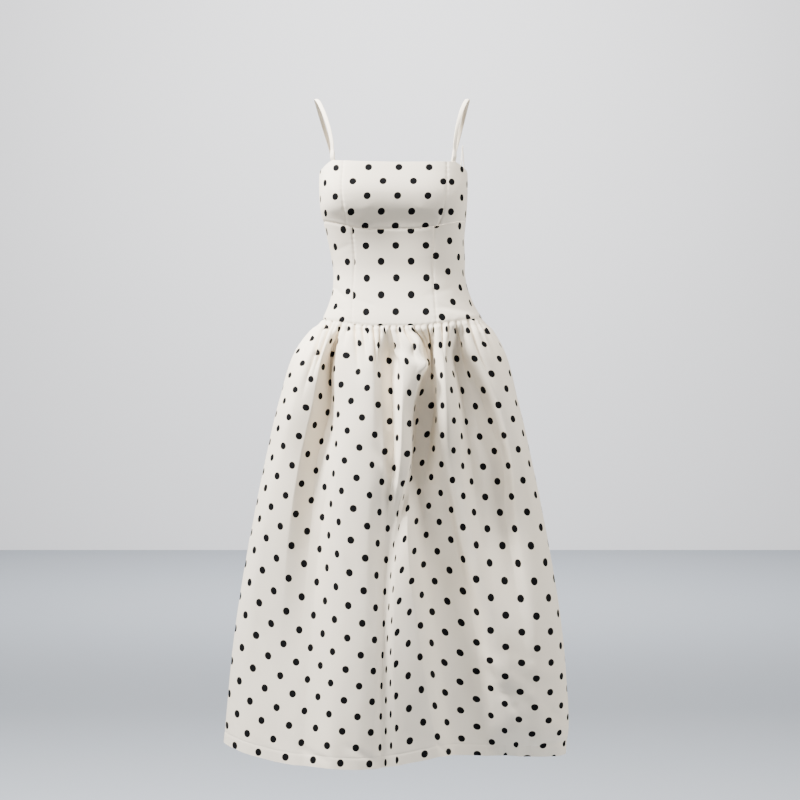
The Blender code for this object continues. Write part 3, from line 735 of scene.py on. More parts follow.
@dataclass(frozen=True)
class BodiceForm:
    """The fitted surface from neckline to dropped waist, and the lines drawn on it."""

    sections: tuple[Section, ...] = rows_of(
        Section,
        (-110, 129.5, 97, 92, 1.0, 3.2, 0.0), (-135, 132.0, 104, 93, 1.0, 3.4, 0.0),
        (-180, 132.0, 112, 93, 1.0, 3.6, 0.0), (-205, 130.0, 108, 91, 2.0, 3.5, 1.0),
        (-222, 127.0, 101, 89, 3.5, 3.2, 2.0), (-248, 122.5, 95, 86, 5.5, 3.0, 4.0),
        (-284, 119.0, 90, 84, 9.5, 2.8, 6.5), (-320, 117.5, 88, 84, 11.7, 2.7, 7.6),
        (-350, 123.0, 92, 88, 14.0, 2.6, 7.6), (-376, 133.0, 98, 94, 15.7, 2.5, 7.6),
        (-394, 142.5, 103, 99, 17.5, 2.5, 7.6), (-412, 149.0, 107, 103, 18.5, 2.5, 7.6),
    )
    edge: tuple[EdgePoint, ...] = rows_of(
        EdgePoint,
        (-180, -171), (-150, -169), (-125, -158), (-100, -143), (-78, -136), (-64, -130),
        (-54, -118.5), (-30, -122), (0, -123.5), (30, -123), (54, -121), (64, -130), (78, -136),
        (100, -143), (125, -158), (150, -169), (180, -171),
    )
    bust_seams: tuple[SeamPoint, ...] = rows_of(
        SeamPoint,
        (-118, -87, 95), (-180, -89, 93), (-210, -85, 88), (-242, -80, 77),
    )
    midriff_seams: tuple[SeamPoint, ...] = rows_of(
        SeamPoint,
        (-220, -74, 73.5), (-290, -68, 70), (-345, -70.5, 72), (-412, -73, 77),
    )
    underbust_front: float = -240.5
    underbust_side: float = -222
    waist_front: float = -410
    waist_side: float = -394
    side: float = 91.0

    def place(self, angle: Array, height: Array) -> Array:
        """Find points of the middle surface.

        Args:
            angle: Their angles round the body.
            height: Their heights, in metres.

        Returns:
            The points.
        """
        angle, height = np.broadcast_arrays(np.asarray(angle, float), np.asarray(height, float))
        rows = np.array(self.sections, dtype=float)
        shape = through(-rows[:, 0] * MM, rows[:, 1:], -height)
        half_width, front, back, centre, power, turn = np.moveaxis(shape, -1, 0)
        across, along = np.sin(np.radians(angle)), np.cos(np.radians(angle))
        half_depth = np.where(along >= 0, front, back)
        wide, deep = np.abs(across / half_width) ** power, np.abs(along / half_depth) ** power
        reach = (wide + deep) ** (-1 / power)
        x, y, turn = reach * across, -reach * along, np.radians(turn)
        return np.stack([
            (x * np.cos(turn) + y * np.sin(turn) + centre) * MM,
            (-x * np.sin(turn) + y * np.cos(turn)) * MM,
            height,
        ], axis=-1)

    def top(self, angle: Array) -> Array:
        """Height of the top edge."""
        rows = np.array(self.edge, dtype=float)
        return np.interp(angle, rows[:, 0], rows[:, 1]) * MM

    def underbust(self, angle: Array) -> Array:
        """Height of the seam below the bust."""
        share = smooth((np.abs(angle) - 20.0) / 55.0)
        return (self.underbust_front + (self.underbust_side - self.underbust_front) * share) * MM

    def waist(self, angle: Array) -> Array:
        """Find the height of the dropped waist seam.

        Args:
            angle: Angles round the body.

        Returns:
            The heights there, in metres.
        """
        angle = (np.asarray(angle, float) + 180.0) % 360.0 - 180.0
        share = smooth((np.abs(angle) - 15.0) / 70.0)
        return (self.waist_front + (self.waist_side - self.waist_front) * share) * MM

    def angle_at(self, x: Array, height: Array) -> Array:
        """Find where the front stands a distance from the middle plane.

        Args:
            x: The distance, in metres.
            height: The height there, in metres.

        Returns:
            The angle.
        """
        low, high = np.full(np.shape(x), -85.0), np.full(np.shape(x), 85.0)
        for _ in range(40):
            middle = 0.5 * (low + high)
            short = self.place(middle, height)[..., 0] < x
            low, high = np.where(short, middle, low), np.where(short, high, middle)
        return 0.5 * (low + high)

    def seam(
        self, table: tuple[SeamPoint, ...], is_left: bool, top: Edge, bottom: Edge, share: Array,
    ) -> Array:
        """Find the angles of a princess seam.

        Args:
            table: How far out it lies.
            is_left: Whether it is on the wearer's left.
            top: The edge that it starts at.
            bottom: The edge that it ends at.
            share: How far down between the two.

        Returns:
            The angles there.
        """
        rows = np.array(table, dtype=float)
        values = rows[:, 2 if is_left else 1] * MM
        height = np.full(np.shape(share), -0.2)
        for _ in range(7):
            angle = self.angle_at(through(-rows[:, 0] * MM, values, -height), height)
            height = top(angle) + (bottom(angle) - top(angle)) * share
        return angle


# ------------------------------------------------------------------ the bodice's panels


class GrainPoint(NamedTuple):
    """Where a height crosses the dots: row number, and the x of the panel's guide thread."""

    height: float
    row: float
    x: float


@dataclass(frozen=True)
class PanelCut:
    """One bodice piece: its node, side lines, edges, grain, and cut size."""

    node: str
    start: Line
    end: Line
    top: Rim
    bottom: Rim
    grain: tuple[GrainPoint, ...]
    guide: float
    flat: Pair
    area: float
    columns: int = 60
    rows: int = 64

    @property
    def name(self) -> str:
        """The piece's own name."""
        return f"{self.node}_cloth"

    @property
    def is_back(self) -> bool:
        """Whether it is half of the back."""
        return self.node.startswith("back")


@dataclass
class BodicePanels:
    """The eight fitted pieces, with seams drawn in and light drag creases."""

    form: BodiceForm
    outer: float = 0.5 * MM
    inner: float = -0.45 * MM
    seam_dip: float = 0.95 * MM
    seam_width: float = 2.3 * MM
    pucker: float = 0.16 * MM
    side_puckers: Triple = (8.8, 5.0, 1.0)
    low_puckers: Triple = (9.6, 6.0, 1.8)
    high_puckers: Triple = (9.2, 5.0, 1.0)
    edge_puckers: Triple = (17.0, 6.0, 0.35)
    unevenness: float = 0.22 * MM
    column: float = 26.5 * MM
    creases: tuple[Crease, ...] = rows_of(
        Crease,
        ((333, 286), (347, 299), 2.2, -0.9), ((333, 305), (345, 312), 2.0, -0.7),
        ((352, 298), (376, 306), 3.0, -0.5), ((424, 296), (452, 288), 3.5, -0.5),
        ((436, 306), (474, 313), 3.0, -0.8), ((345, 216), (372, 206), 5.0, 0.7),
        ((415, 206), (442, 216), 5.0, 0.7), ((350, 222), (440, 221), 4.0, -0.4),
        ((326, 178), (338, 200), 3.0, 0.6), ((449, 200), (462, 180), 3.0, 0.6),
        ((448, 244), (466, 252), 3.0, -0.6), ((334, 252), (350, 244), 3.0, -0.5),
    )
    cuts: tuple[PanelCut, ...] = (
        PanelCut(
            "bust_front", Line.BUST_RIGHT, Line.BUST_LEFT, Rim.TOP, Rim.UNDERBUST,
            rows_of(
                GrainPoint,
                (-118, -0.6, 11.2), (-133.4, 0, 10.7), (-158.1, 1, 9.6), (-183.6, 2, 8.4),
                (-210.7, 3, 6.4), (-234.9, 4, 4.4), (-245, 4.4, 3.6),
            ),
            0, (0.190, 0.122), 0.0215, 90,
        ),
        PanelCut(
            "bust_side_left", Line.BUST_LEFT, Line.SIDE_LEFT, Rim.TOP, Rim.UNDERBUST,
            rows_of(
                GrainPoint,
                (-118, -0.6, 103), (-158, 1, 103), (-210, 3, 102), (-245, 4.4, 98),
            ),
            1, (0.108, 0.112), 0.0114,
        ),
        PanelCut(
            "bust_side_right", Line.SIDE_RIGHT, Line.BUST_RIGHT, Rim.TOP, Rim.UNDERBUST,
            rows_of(
                GrainPoint,
                (-118, -0.6, -99), (-158, 1, -100), (-210, 3, -101), (-245, 4.4, -98),
            ),
            2, (0.104, 0.112), 0.0110,
        ),
        PanelCut(
            "midriff_front", Line.MIDRIFF_RIGHT, Line.MIDRIFF_LEFT, Rim.UNDERBUST, Rim.WAIST,
            rows_of(
                GrainPoint,
                (-243.4, 0, 5.1), (-268.9, 1, 5.1), (-296.5, 2, 5.7), (-325.7, 3, 6.3),
                (-355.6, 4, 5.8), (-386.0, 5, 5.1), (-412.3, 6, 4.4),
            ),
            1, (0.154, 0.176), 0.0258, 80, 84,
        ),
        PanelCut(
            "midriff_side_left", Line.MIDRIFF_LEFT, Line.SIDE_LEFT, Rim.UNDERBUST, Rim.WAIST,
            rows_of(
                GrainPoint,
                (-232.6, 0, 100), (-259.8, 1, 99.8), (-287.0, 2, 98.8), (-313.5, 3, 96.6),
                (-341.3, 4, 100.5), (-367.5, 5, 105.5), (-394.9, 6, 111),
            ),
            1, (0.124, 0.180), 0.0202, 60, 84,
        ),
        PanelCut(
            "midriff_side_right", Line.SIDE_RIGHT, Line.MIDRIFF_RIGHT, Rim.UNDERBUST, Rim.WAIST,
            rows_of(
                GrainPoint,
                (-240.1, 0, -87), (-268.4, 1, -83), (-295.8, 2, -80), (-322.9, 3, -79),
                (-348.0, 4, -79), (-374.2, 5, -83), (-398.5, 6, -90),
            ),
            0, (0.128, 0.180), 0.0206, 60, 84,
        ),
        PanelCut(
            "back_left", Line.SIDE_LEFT, Line.BACK_LEFT, Rim.TOP, Rim.WAIST,
            rows_of(
                GrainPoint,
                (-130, 0.3, 0), (-402, 10.4, 0),
            ),
            0, (0.200, 0.262), 0.0432, 100, 110,
        ),
        PanelCut(
            "back_right", Line.BACK_RIGHT, Line.SIDE_RIGHT, Rim.TOP, Rim.WAIST,
            rows_of(
                GrainPoint,
                (-130, 0.0, 0), (-402, 10.1, 0),
            ),
            0.7, (0.200, 0.262), 0.0430, 100, 110,
        ),
    )

    def edge(self, rim: Rim) -> Edge:
        """The height line of a rim."""
        form = self.form
        return {Rim.TOP: form.top, Rim.UNDERBUST: form.underbust, Rim.WAIST: form.waist}[rim]

    def side_line(self, line: Line, top: Edge, bottom: Edge, share: Array) -> Array:
        """Find the angles of a panel's side line.

        Args:
            line: The line.
            top: The panel's upper edge.
            bottom: Its lower edge.
            share: How far down between the two.

        Returns:
            The angles there.
        """
        fixed = {
            Line.BACK_RIGHT: -180.0, Line.SIDE_RIGHT: -self.form.side,
            Line.SIDE_LEFT: self.form.side, Line.BACK_LEFT: 180.0,
        }
        if line in fixed:
            return np.full(share.shape, fixed[line])
        in_bust = line in (Line.BUST_LEFT, Line.BUST_RIGHT)
        is_left = line in (Line.BUST_LEFT, Line.MIDRIFF_LEFT)
        table = self.form.bust_seams if in_bust else self.form.midriff_seams
        return self.form.seam(table, is_left, top, bottom, share)

    def grid(self, cut: PanelCut) -> Array:
        """Set out a panel's middle points, closer together near its seams.

        Args:
            cut: The panel.

        Returns:
            The points, rows going down.
        """
        top, bottom = self.edge(cut.top), self.edge(cut.bottom)
        share = closer_ends(cut.rows)
        low = self.side_line(cut.start, top, bottom, share)[:, None]
        high = self.side_line(cut.end, top, bottom, share)[:, None]
        angles = low + (high - low) * closer_ends(cut.columns)
        start = top(angles) - (0.0 if cut.top is Rim.TOP else 0.5 * SEAM_GAP)
        end = bottom(angles) + 0.5 * SEAM_GAP
        points = self.form.place(angles, start + (end - start) * share[:, None])
        part_sides(points)
        return points

    def puckers(self, along: Array, off: Array, size: Triple) -> Array:
        """Work out the puckers beside a seam.

        Args:
            along: Places along the seam.
            off: How far off it they are.
            size: The puckers' spacing, reach and strength.

        Returns:
            How far the cloth stands out there.
        """
        spacing, reach, strength = size
        waves = np.sin(along * 2 * pi / (spacing * MM))
        return strength * (self.pucker * waves * np.exp(-off / (reach * MM)))

    def dip(self, off: Array) -> Array:
        """How far the cloth is drawn in at places off a seam."""
        return self.seam_dip * np.exp(-((off / self.seam_width) ** 2))

    def sewn(self, cut: PanelCut, points: Array) -> Array:
        """Draw in a grid's seams, with puckers beside them, and add drag creases.

        Args:
            cut: The panel.
            points: Its middle points.

        Returns:
            The points, moved.
        """
        along = run_length(points)
        aside = np.minimum(along, along[:, -1:] - along)
        height = points[..., 2]
        below = height - height[-1:]
        above = height[:1] - height
        across = points[..., 0] - points[..., 1]
        uneven = 1.0 + 0.5 * wander(height * 40, len(cut.name))
        swung = height + 2.0 * wander(height * 55, 1.3) * self.side_puckers[0] * MM / (2 * pi)
        low = across + 2.4 * wander(across * 60, 0.4) * self.low_puckers[0] * MM / (2 * pi)
        push = uneven * self.puckers(swung, aside, self.side_puckers)
        push += self.puckers(low, below, self.low_puckers) - self.dip(aside) - self.dip(below)
        if cut.top is Rim.TOP:
            push += self.puckers(across, above, self.edge_puckers)
        else:
            push += self.puckers(across, above, self.high_puckers) - self.dip(above)
        push += self.unevenness * wander(across * 34 + height * 21, 2.0 + len(cut.node))
        if not cut.is_back:
            seen = VIEW.seen(points)
            for crease in self.creases:
                push += crease.push(seen)
        return points + outward(points) * push[..., None]

    def laid(self, cut: PanelCut, points: Array) -> Array:
        """Lay the dots over a panel from its grain.

        Args:
            cut: The panel.
            points: Its middle points.

        Returns:
            The cloth place of every point, in half dot spacings.
        """
        rows = np.array(cut.grain, dtype=float)
        height = points[..., 2]
        row = beyond(-height, -rows[:, 0] * MM, rows[:, 1])
        guide = beyond(-height, -rows[:, 0] * MM, rows[:, 2]) * MM
        along = run_length(points)
        if cut.is_back:
            start = along if cut.start is Line.SIDE_LEFT else along - along[:, -1:]
            return np.stack([cut.guide + start / self.column, row], axis=-1)
        off = np.abs(points[..., 0] - guide)
        nearest = np.argmin(off, axis=1)
        at = (np.arange(len(nearest)), nearest)
        slope = np.abs(np.gradient(points[..., 0], axis=1) / np.gradient(along, axis=1))
        start = along[at] + (guide[at] - points[..., 0][at]) / np.maximum(slope[at], 0.2)
        return np.stack([cut.guide + (along - start[:, None]) / self.column, row], axis=-1)

    def build(self, finishes: Finishes) -> list[Thing]:
        """Make and dress the eight panels.

        Args:
            finishes: The dress's finishes.

        Returns:
            The pieces.
        """
        made, cotton = [], finishes.made[Slot.DOTTED]
        for cut in self.cuts:
            points = self.grid(cut)
            laid = self.laid(cut, points)
            points = self.sewn(cut, points)
            piece = shell(cut.name, points, laid, self.outer, self.inner, cotton)
            dress_piece(piece, Body.DRESS, cut.node)
            made.append(piece)
        return made


def dress_piece(piece: Thing, body: Body, node: str | None = None) -> None:
    """Hang a piece on its body, and hide the part that it stands for.

    Args:
        piece: The piece.
        body: The body that it rides on.
        node: The node that it stands for, if any.
    """
    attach(piece, body.value)
    if node:
        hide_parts(node)


# ------------------------------------------------------------------ the skirt's form


class FoldLine(NamedTuple):
    """A line down a fold on the front.

    Its angle at the waist seam and how sharply it is creased. Then at each level below it:
    the picture column where it is seen from the front, how deep it stands, and the dot thread
    that it lies on. hem is the height of its end, curl how far that end turns under.
    """

    name: str
    seam: float
    crease: float
    upper: Triple
    hip: Triple
    thigh: Triple
    middle: Triple
    low: Triple
    foot: Triple
    hem: float = -1166
    curl: float = 0


class BackFold(NamedTuple):
    """A line down a fold on the back: its angle at the seam, below the gathers and at the hem."""

    seam: float
    upper: float
    foot: float
    stands: tuple[float, float, float, float, float, float]


class Gather(NamedTuple):
    """A gather valley below the waist seam: angle, depth, half width, length and sideways drift."""

    angle: float
    depth: float
    width: float
    length: float
    drift: float = 0.0


@dataclass
class SkirtForm:
    """The gathered skirt's folds, from the waist seam to the hem."""

    bodice: BodiceForm
    levels: tuple[float, ...] = (0.0, 0.065, 0.195, 0.315, 0.44, 0.73, 1.0)
    front: tuple[FoldLine, ...] = rows_of(
        FoldLine,
        ("left_side", -90, 0.1, (300, -14, -0.6), (279.5, -50, -1.3), (267.5, -50, -1.3),
         (256.5, -48, -1.3), (235.5, -55, -1.1), (224, -45, -1.4), -1147),
        ("left_outer", -81, 0.1, (305, -58, 0.5), (288, -92, 0.5), (277, -91, 0.5),
         (265, -88, 0.4), (247, -86, 0.3), (236, -92, 0.1), -1152),
        ("left_round", -73, 0.1, (312, -76, 1.3), (294.5, -104, 1.2), (284, -103, 1.2),
         (272, -100, 1.1), (259, -98, 1.2), (248, -112, 1.2), -1157),
        ("left_ridge", -54, 0.7, (324, -94, 2.6), (312, -107, 2.35), (300, -111, 2.45),
         (291, -115, 2.65), (281, -116, 2.8), (275, -134, 3.3), -1166),
        ("left_valley", -49.5, 0.8, (333, -64, 4.1), (330.5, -68, 4.2), (317, -85, 3.9),
         (312, -100, 4.2), (301, -126, 4.2), (293.5, -150, 4.6), -1169),
        ("flank_foot", -48, 0.6, (334, -72, 4.5), (332, -78, 4.6), (331, -108, 5.4),
         (323, -108, 5), (311, -132, 5), (304.5, -156, 5.4), -1169),
        ("panel_left", -45.5, 0.4, (339, -96, 5.4), (338.5, -113, 6), (338.5, -132, 6.5),
         (332.5, -136, 6.3), (334, -162, 7.1), (330, -184, 7.3), -1169),
        ("panel_round", -38, 0.1, (353.5, -113, 6.4), (355, -135, 7.4), (351, -144, 7.5),
         (343.5, -150, 7.4), (347, -173, 8), (341.5, -186, 8.1), -1170),
        ("panel_crest", -26, 0.1, (371, -123, 8), (373, -144, 8.7), (370, -151, 8.8),
         (368, -157, 9), (364, -178, 9.2), (357.5, -188, 9.2), -1170),
        ("panel_right", -13.5, 0.8, (380.5, -116, 9.2), (381.5, -135, 9.3), (383, -149, 10),
         (379, -147, 10), (375.5, -173, 10.1), (372, -182, 10.2), -1170),
        ("centre_valley", -10, 0.8, (389, -94, 10.1), (392.5, -118, 10.15), (393, -134, 10.8),
         (386.5, -138, 10.8), (379.5, -169, 10.5), (376, -178, 10.6), -1170),
        ("centre_ridge", 2, 0.35, (402, -126, 11.6), (402, -146, 11.4), (400, -148, 11.6),
         (392.5, -139, 11.4), (381.5, -166, 10.8), (378.5, -175, 10.9), -1170),
        ("nose_edge", 13, 0.7, (419.5, -130, 13.5), (412, -130, 12.25), (409, -140, 12.2),
         (397.5, -140, 12), (384, -163, 11.2), (381, -172, 11.2), -1170),
        ("cliff_foot", 15, 0.6, (424, -108, 13.9), (416.5, -86, 13.9), (411.5, -102, 13.6),
         (401, -134, 13.3), (394, -167, 13.8), (398, -171, 14.2), -1166),
        ("inner_ridge", 16.5, 0.95, (427, -98, 14.2), (419.5, -79, 14.2), (413, -88, 14.1),
         (407.5, -134, 14.1), (419, -160, 15.95), (438, -150, 16.95), -1155),
        ("main_floor", 31.5, 0.3, (432, -92, 15.3), (434, -82, 15.2), (427, -76, 15.4),
         (423.5, -92, 15.6), (438, -120, 17.55), (454.5, -116, 18.5), -1158),
        ("ridge_left", 34.5, 0.7, (435.5, -114, 16.2), (438, -120, 16.5), (441.5, -106, 17),
         (449, -92, 17.8), (476, -98, 19.95), (486, -96, 20.55), -1163),
        ("ridge_crest", 41, 0.1, (443.5, -124, 17.4), (447, -133, 17.4), (450, -113, 17.7),
         (457, -108, 18.5), (487.5, -112, 20.8), (498, -98, 21.5), -1164, 14),
        ("ridge_right", 46.5, 0.3, (449.5, -114, 18.7), (456.5, -114, 18.4), (460, -104, 18.7),
         (465.5, -108, 19.2), (496.5, -116, 21.4), (506, -101, 22.1), -1164, 20),
        ("step_foot", 48.5, 0.6, (454, -88, 19.8), (464, -76, 20), (471, -79, 20.2),
         (477, -88, 20.3), (505.5, -114, 22), (513, -101, 22.7), -1165, 22),
        ("step_edge", 51, 0.5, (459.5, -80, 20.3), (474, -68, 20.9), (481, -82, 20.9),
         (486, -84, 21), (512, -110, 22.4), (520, -100, 23.2), -1166, 22),
        ("right_edge", 55, 0.8, (464, -88, 21.3), (484, -62, 21.7), (501.5, -64, 22.5),
         (505.5, -68, 22.4), (523.5, -104, 23.1), (531, -93, 24), -1168, 22),
        ("right_round", 61, 0.1, (475.5, -98, 22.3), (498.5, -92, 23), (511, -84, 23.3),
         (517, -84, 23.3), (535.5, -100, 23.9), (541.5, -88, 24.7), -1169, 22),
        ("right_panel", 70, 0.1, (487, -84, 23.2), (509.5, -80, 24), (521.5, -80, 24.2),
         (532, -76, 24.4), (547, -86, 24.7), (552.5, -78, 25.4), -1170, 20),
        ("right_outer", 80, 0.1, (497, -54, 24.3), (516, -52, 25), (528, -56, 25.1),
         (539.5, -52, 25.2), (558, -66, 25.7), (564.5, -62, 26.5), -1171, 16),
        ("right_side", 90, 0.1, (501, -16, 25.6), (518, -18, 26.2), (530, -18, 26.4),
         (541.5, -24, 26.2), (562.5, -32, 26.9), (570.5, -35, 27.6), -1170, 10),
    )
    back_depth: tuple[float, ...] = (130, 165, 183, 200, 225, 240)
    back_hems: tuple[Pair, ...] = ((90, -1172), (130, -1168), (230, -1160), (270, -1147))
    back_curl: float = 4.0
    back_crease: float = 0.1
    last_rise: float = 2.2
    back: tuple[BackFold, ...] = rows_of(
        BackFold,
        (103, 103, 101, (-8, -12, -10, -9, -6, -4)), (112, 112, 110, (9, 12, 11, 10, 8, 6)),
        (121, 121, 119, (-10, -17, -15, -13, -8, -5)), (131, 130, 129, (10, 14, 14, 13, 11, 8)),
        (140, 139, 139, (-9, -16, -16, -15, -11, -7)), (150, 149, 151, (11, 16, 15, 14, 12, 10)),
        (160, 160, 160, (-12, -18, -17, -16, -12, -8)), (170, 168, 169, (7, 10, 10, 11, 9, 7)),
        (180, 177, 181, (-4, -9, -10, -10, -9, -7)), (190, 185, 192, (8, 13, 14, 14, 13, 10)),
        (201, 191, 203, (-11, -19, -18, -16, -11, -8)), (211, 199, 213, (10, 13, 12, 12, 11, 9)),
        (220, 208, 221, (-10, -15, -14, -12, -8, -5)), (230, 217, 232, (11, 16, 15, 14, 11, 8)),
        (240, 227, 241, (-9, -14, -14, -13, -10, -7)), (249, 237, 251, (8, 11, 10, 9, 7, 5)),
        (259, 249, 260, (-8, -11, -10, -8, -5, -4)),
    )
    chart_threads: tuple[float, ...] = (0, 4, 8, 12, 16, 20, 24)
    chart_levels: tuple[float, ...] = (0.0, 0.065, 0.195, 0.44, 0.73, 0.968, 1.0)
    chart: tuple[tuple[float, ...], ...] = (
        (-13.0, -12.6, -12.4, -12.3, -12.4, -12.7, -13.1),
        (-10.5, -10.3, -10.4, -10.5, -10.6, -10.6, -10.9),
        (-6.0, -6.4, -6.55, -6.85, -6.8, -7.0, -7.0),
        (1.2, 0.9, 0.6, 0.3, 0.5, 0.05, 0.0),
        (9.0, 8.8, 8.6, 8.55, 9.0, 7.8, 7.5),
        (15.3, 15.5, 15.5, 15.4, 15.5, 15.1, 14.8),
        (16.2, 16.4, 16.4, 16.3, 16.4, 16.1, 15.9),
    )
    sharpness: tuple[float, ...] = (0.4, 0.8, 1.0, 0.95, 0.8, 0.4, 0.3)
    angles: Array = field(init=False)
    plans: Array = field(init=False)
    threads: Array = field(init=False)
    hems: Array = field(init=False)
    curls: Array = field(init=False)
    creased: Array = field(init=False)

    def __post_init__(self) -> None:
        """Work out all fold lines, front and back."""
        lines = np.array([row[3:9] for row in self.front], dtype=float)
        lines[:, :, 0] = VIEW.reach(lines[:, :, 0], lines[:, :, 1] * MM) / MM
        plans, angles = list(lines[:, :, :2]), [row.seam for row in self.front]
        left, right = lines[0], lines[-1]
        for row in self.back:
            stand = np.array(row.stands, dtype=float)
            turned = np.radians(row.upper + (row.foot - row.upper) * np.array(self.levels[1:]))
            half = 0.5 * (right[:, 0] - left[:, 0]) + stand
            x = 0.5 * (left[:, 0] + right[:, 0]) + half * np.sin(turned)
            base = left[:, 1] + (right[:, 1] - left[:, 1]) * 0.5 * (1 + np.sin(turned))
            y = base - (np.array(self.back_depth) + stand) * np.cos(turned)
            plans.append(np.stack([x, y], axis=1))
            angles.append(row.seam)
        self.angles = np.array(angles, dtype=float)
        seam = self.bodice.place(self.angles, self.bodice.waist(self.angles))[:, None, :2]
        self.plans = np.concatenate([seam, np.array(plans) * MM], axis=1)
        ends = np.interp(self.angles, *np.transpose(self.back_hems))
        ends[:len(self.front)] = [row.hem for row in self.front]
        self.hems = ends * MM
        behind = len(self.back)
        self.curls = np.array([row.curl for row in self.front] + [self.back_curl] * behind) * MM
        self.creased = np.array([row.crease for row in self.front] + [self.back_crease] * behind)
        self.threads = self.line_threads(lines[:, :, 2])

    def closed(self) -> Array:
        """The lines' angles, with the first one again a full turn later."""
        return np.append(self.angles, self.angles[0] + 360.0)

    def line_threads(self, front: Array) -> Array:
        """Find the dot thread of every fold line at every level, on the back from the hem's length.

        Args:
            front: The threads of the front lines below the seam.

        Returns:
            The threads of all lines, with the seam's as the first level.
        """
        front = np.concatenate([front[:, :1], front], axis=1)
        fine = np.linspace(self.angles[len(self.front) - 1], 270.0, 900)
        rim = run_length(self.ring(self.plans[:, -1], fine, 1.0)) / (HALF_COLUMN * MM)
        rises = np.interp(self.angles[len(self.front):], fine, rim)
        return np.concatenate([front, front[-1] + rises[:, None]], axis=0)

    def ring(self, plans: Array, angle: Array, share: float) -> Array:
        """Draw a closed curve through the fold lines, flatter between sharp creases.

        Args:
            plans: Where the lines pass at one level.
            angle: Where to read the curve.
            share: How far down the skirt the level is.

        Returns:
            Points on the curve.
        """
        count = len(plans)
        turned = (np.asarray(angle, float) - self.angles[0]) % 360.0 + self.angles[0]
        edges = self.closed()
        span = np.clip(np.searchsorted(edges, turned, side="right") - 1, 0, count - 1)
        part = ((turned - edges[span]) / (edges[span + 1] - edges[span]))[..., None]
        p0, p1 = plans[(span - 1) % count], plans[span]
        p2, p3 = plans[(span + 1) % count], plans[(span + 2) % count]
        k1 = np.sqrt(np.linalg.norm(p1 - p0, axis=-1, keepdims=True))
        k2 = k1 + np.sqrt(np.linalg.norm(p2 - p1, axis=-1, keepdims=True))
        k3 = k2 + np.sqrt(np.linalg.norm(p3 - p2, axis=-1, keepdims=True))
        k = k1 + (k2 - k1) * part
        a1 = (k1 - k) / k1 * p0 + k / k1 * p1
        a2 = (k2 - k) / (k2 - k1) * p1 + (k - k1) / (k2 - k1) * p2
        a3 = (k3 - k) / (k3 - k2) * p2 + (k - k2) / (k3 - k2) * p3
        b1 = (k2 - k) / k2 * a1 + k / k2 * a2
        b2 = (k3 - k) / (k3 - k1) * a2 + (k - k1) / (k3 - k1) * a3
        curve = (k2 - k) / (k2 - k1) * b1 + (k - k1) / (k2 - k1) * b2
        sharp = self.creased * float(through(self.levels, np.array(self.sharpness), share))
        flat = sharp[span][..., None] * (1.0 - part) + sharp[(span + 1) % count][..., None] * part
        return curve * (1.0 - flat) + (p1 + (p2 - p1) * part) * flat

    def along_lines(self, values: Array, angle: Array) -> Array:
        """Read a value between the fold lines.

        Args:
            values: The value on every line.
            angle: Where to read it.

        Returns:
            The values there.
        """
        turned = (np.asarray(angle, float) - self.angles[0]) % 360.0 + self.angles[0]
        edges = self.closed()
        return np.interp(turned, edges, np.append(values, values[0]))

    def columns(self, start: float, end: float, per_thread: float) -> Array:
        """Set out a panel's columns, closer where more cloth lies.

        Args:
            start: The angle of one side seam.
            end: The angle of the other.
            per_thread: How many columns each dot thread takes.

        Returns:
            The angles of the columns.
        """
        edges = self.closed()
        widest = np.max(np.diff(self.threads, axis=0), axis=1)
        widest = np.append(widest, 2.0)
        angles = [np.array([start, end])]
        for turn in (-360.0, 0.0, 360.0):
            for low, high, rise in zip(edges[:-1] + turn, edges[1:] + turn, widest):
                steps = max(3, int(round(rise * per_thread)))
                angles.append(np.linspace(low, high, steps + 1)[:-1])
        angles = np.unique(np.round(np.concatenate(angles), 5))
        inside = angles[(angles > start + 0.15) & (angles < end - 0.15)]
        return np.concatenate([[start], inside, [end]])

    def base(self, angle: Array, shares: Array) -> Array:
        """Set out the folds without gathers.

        Args:
            angle: The angles of the columns.
            shares: How far down the rows lie.

        Returns:
            The grid.
        """
        places = through(self.levels, np.moveaxis(self.plans, 1, 0), shares)
        seam = self.bodice.place(angle, self.bodice.waist(angle))
        ends = self.along_lines(self.hems, angle)
        rows = []
        for share, plans in zip(shares, places):
            plan = self.ring(plans, angle, share)
            ease = float(smooth(share / 0.03))
            plan = seam[:, :2] * (1.0 - ease) + plan * ease
            height = seam[:, 2] + (ends - seam[:, 2]) * share
            rows.append(np.concatenate([plan, height[:, None]], axis=1))
        return np.array(rows)

    def curled(self, points: Array, angle: Array, shares: Array) -> Array:
        """Turn a grid's hem a little under.

        Args:
            points: The grid.
            angle: The angles of its columns.
            shares: How far down its rows lie.

        Returns:
            The grid, moved.
        """
        share = smooth((shares - 0.92) / 0.10)[:, None]
        amount = self.along_lines(self.curls, angle)[None, :] * share
        way = outward(points)
        way[..., 2] = 0.0
        return points - unit(way) * amount[..., None]

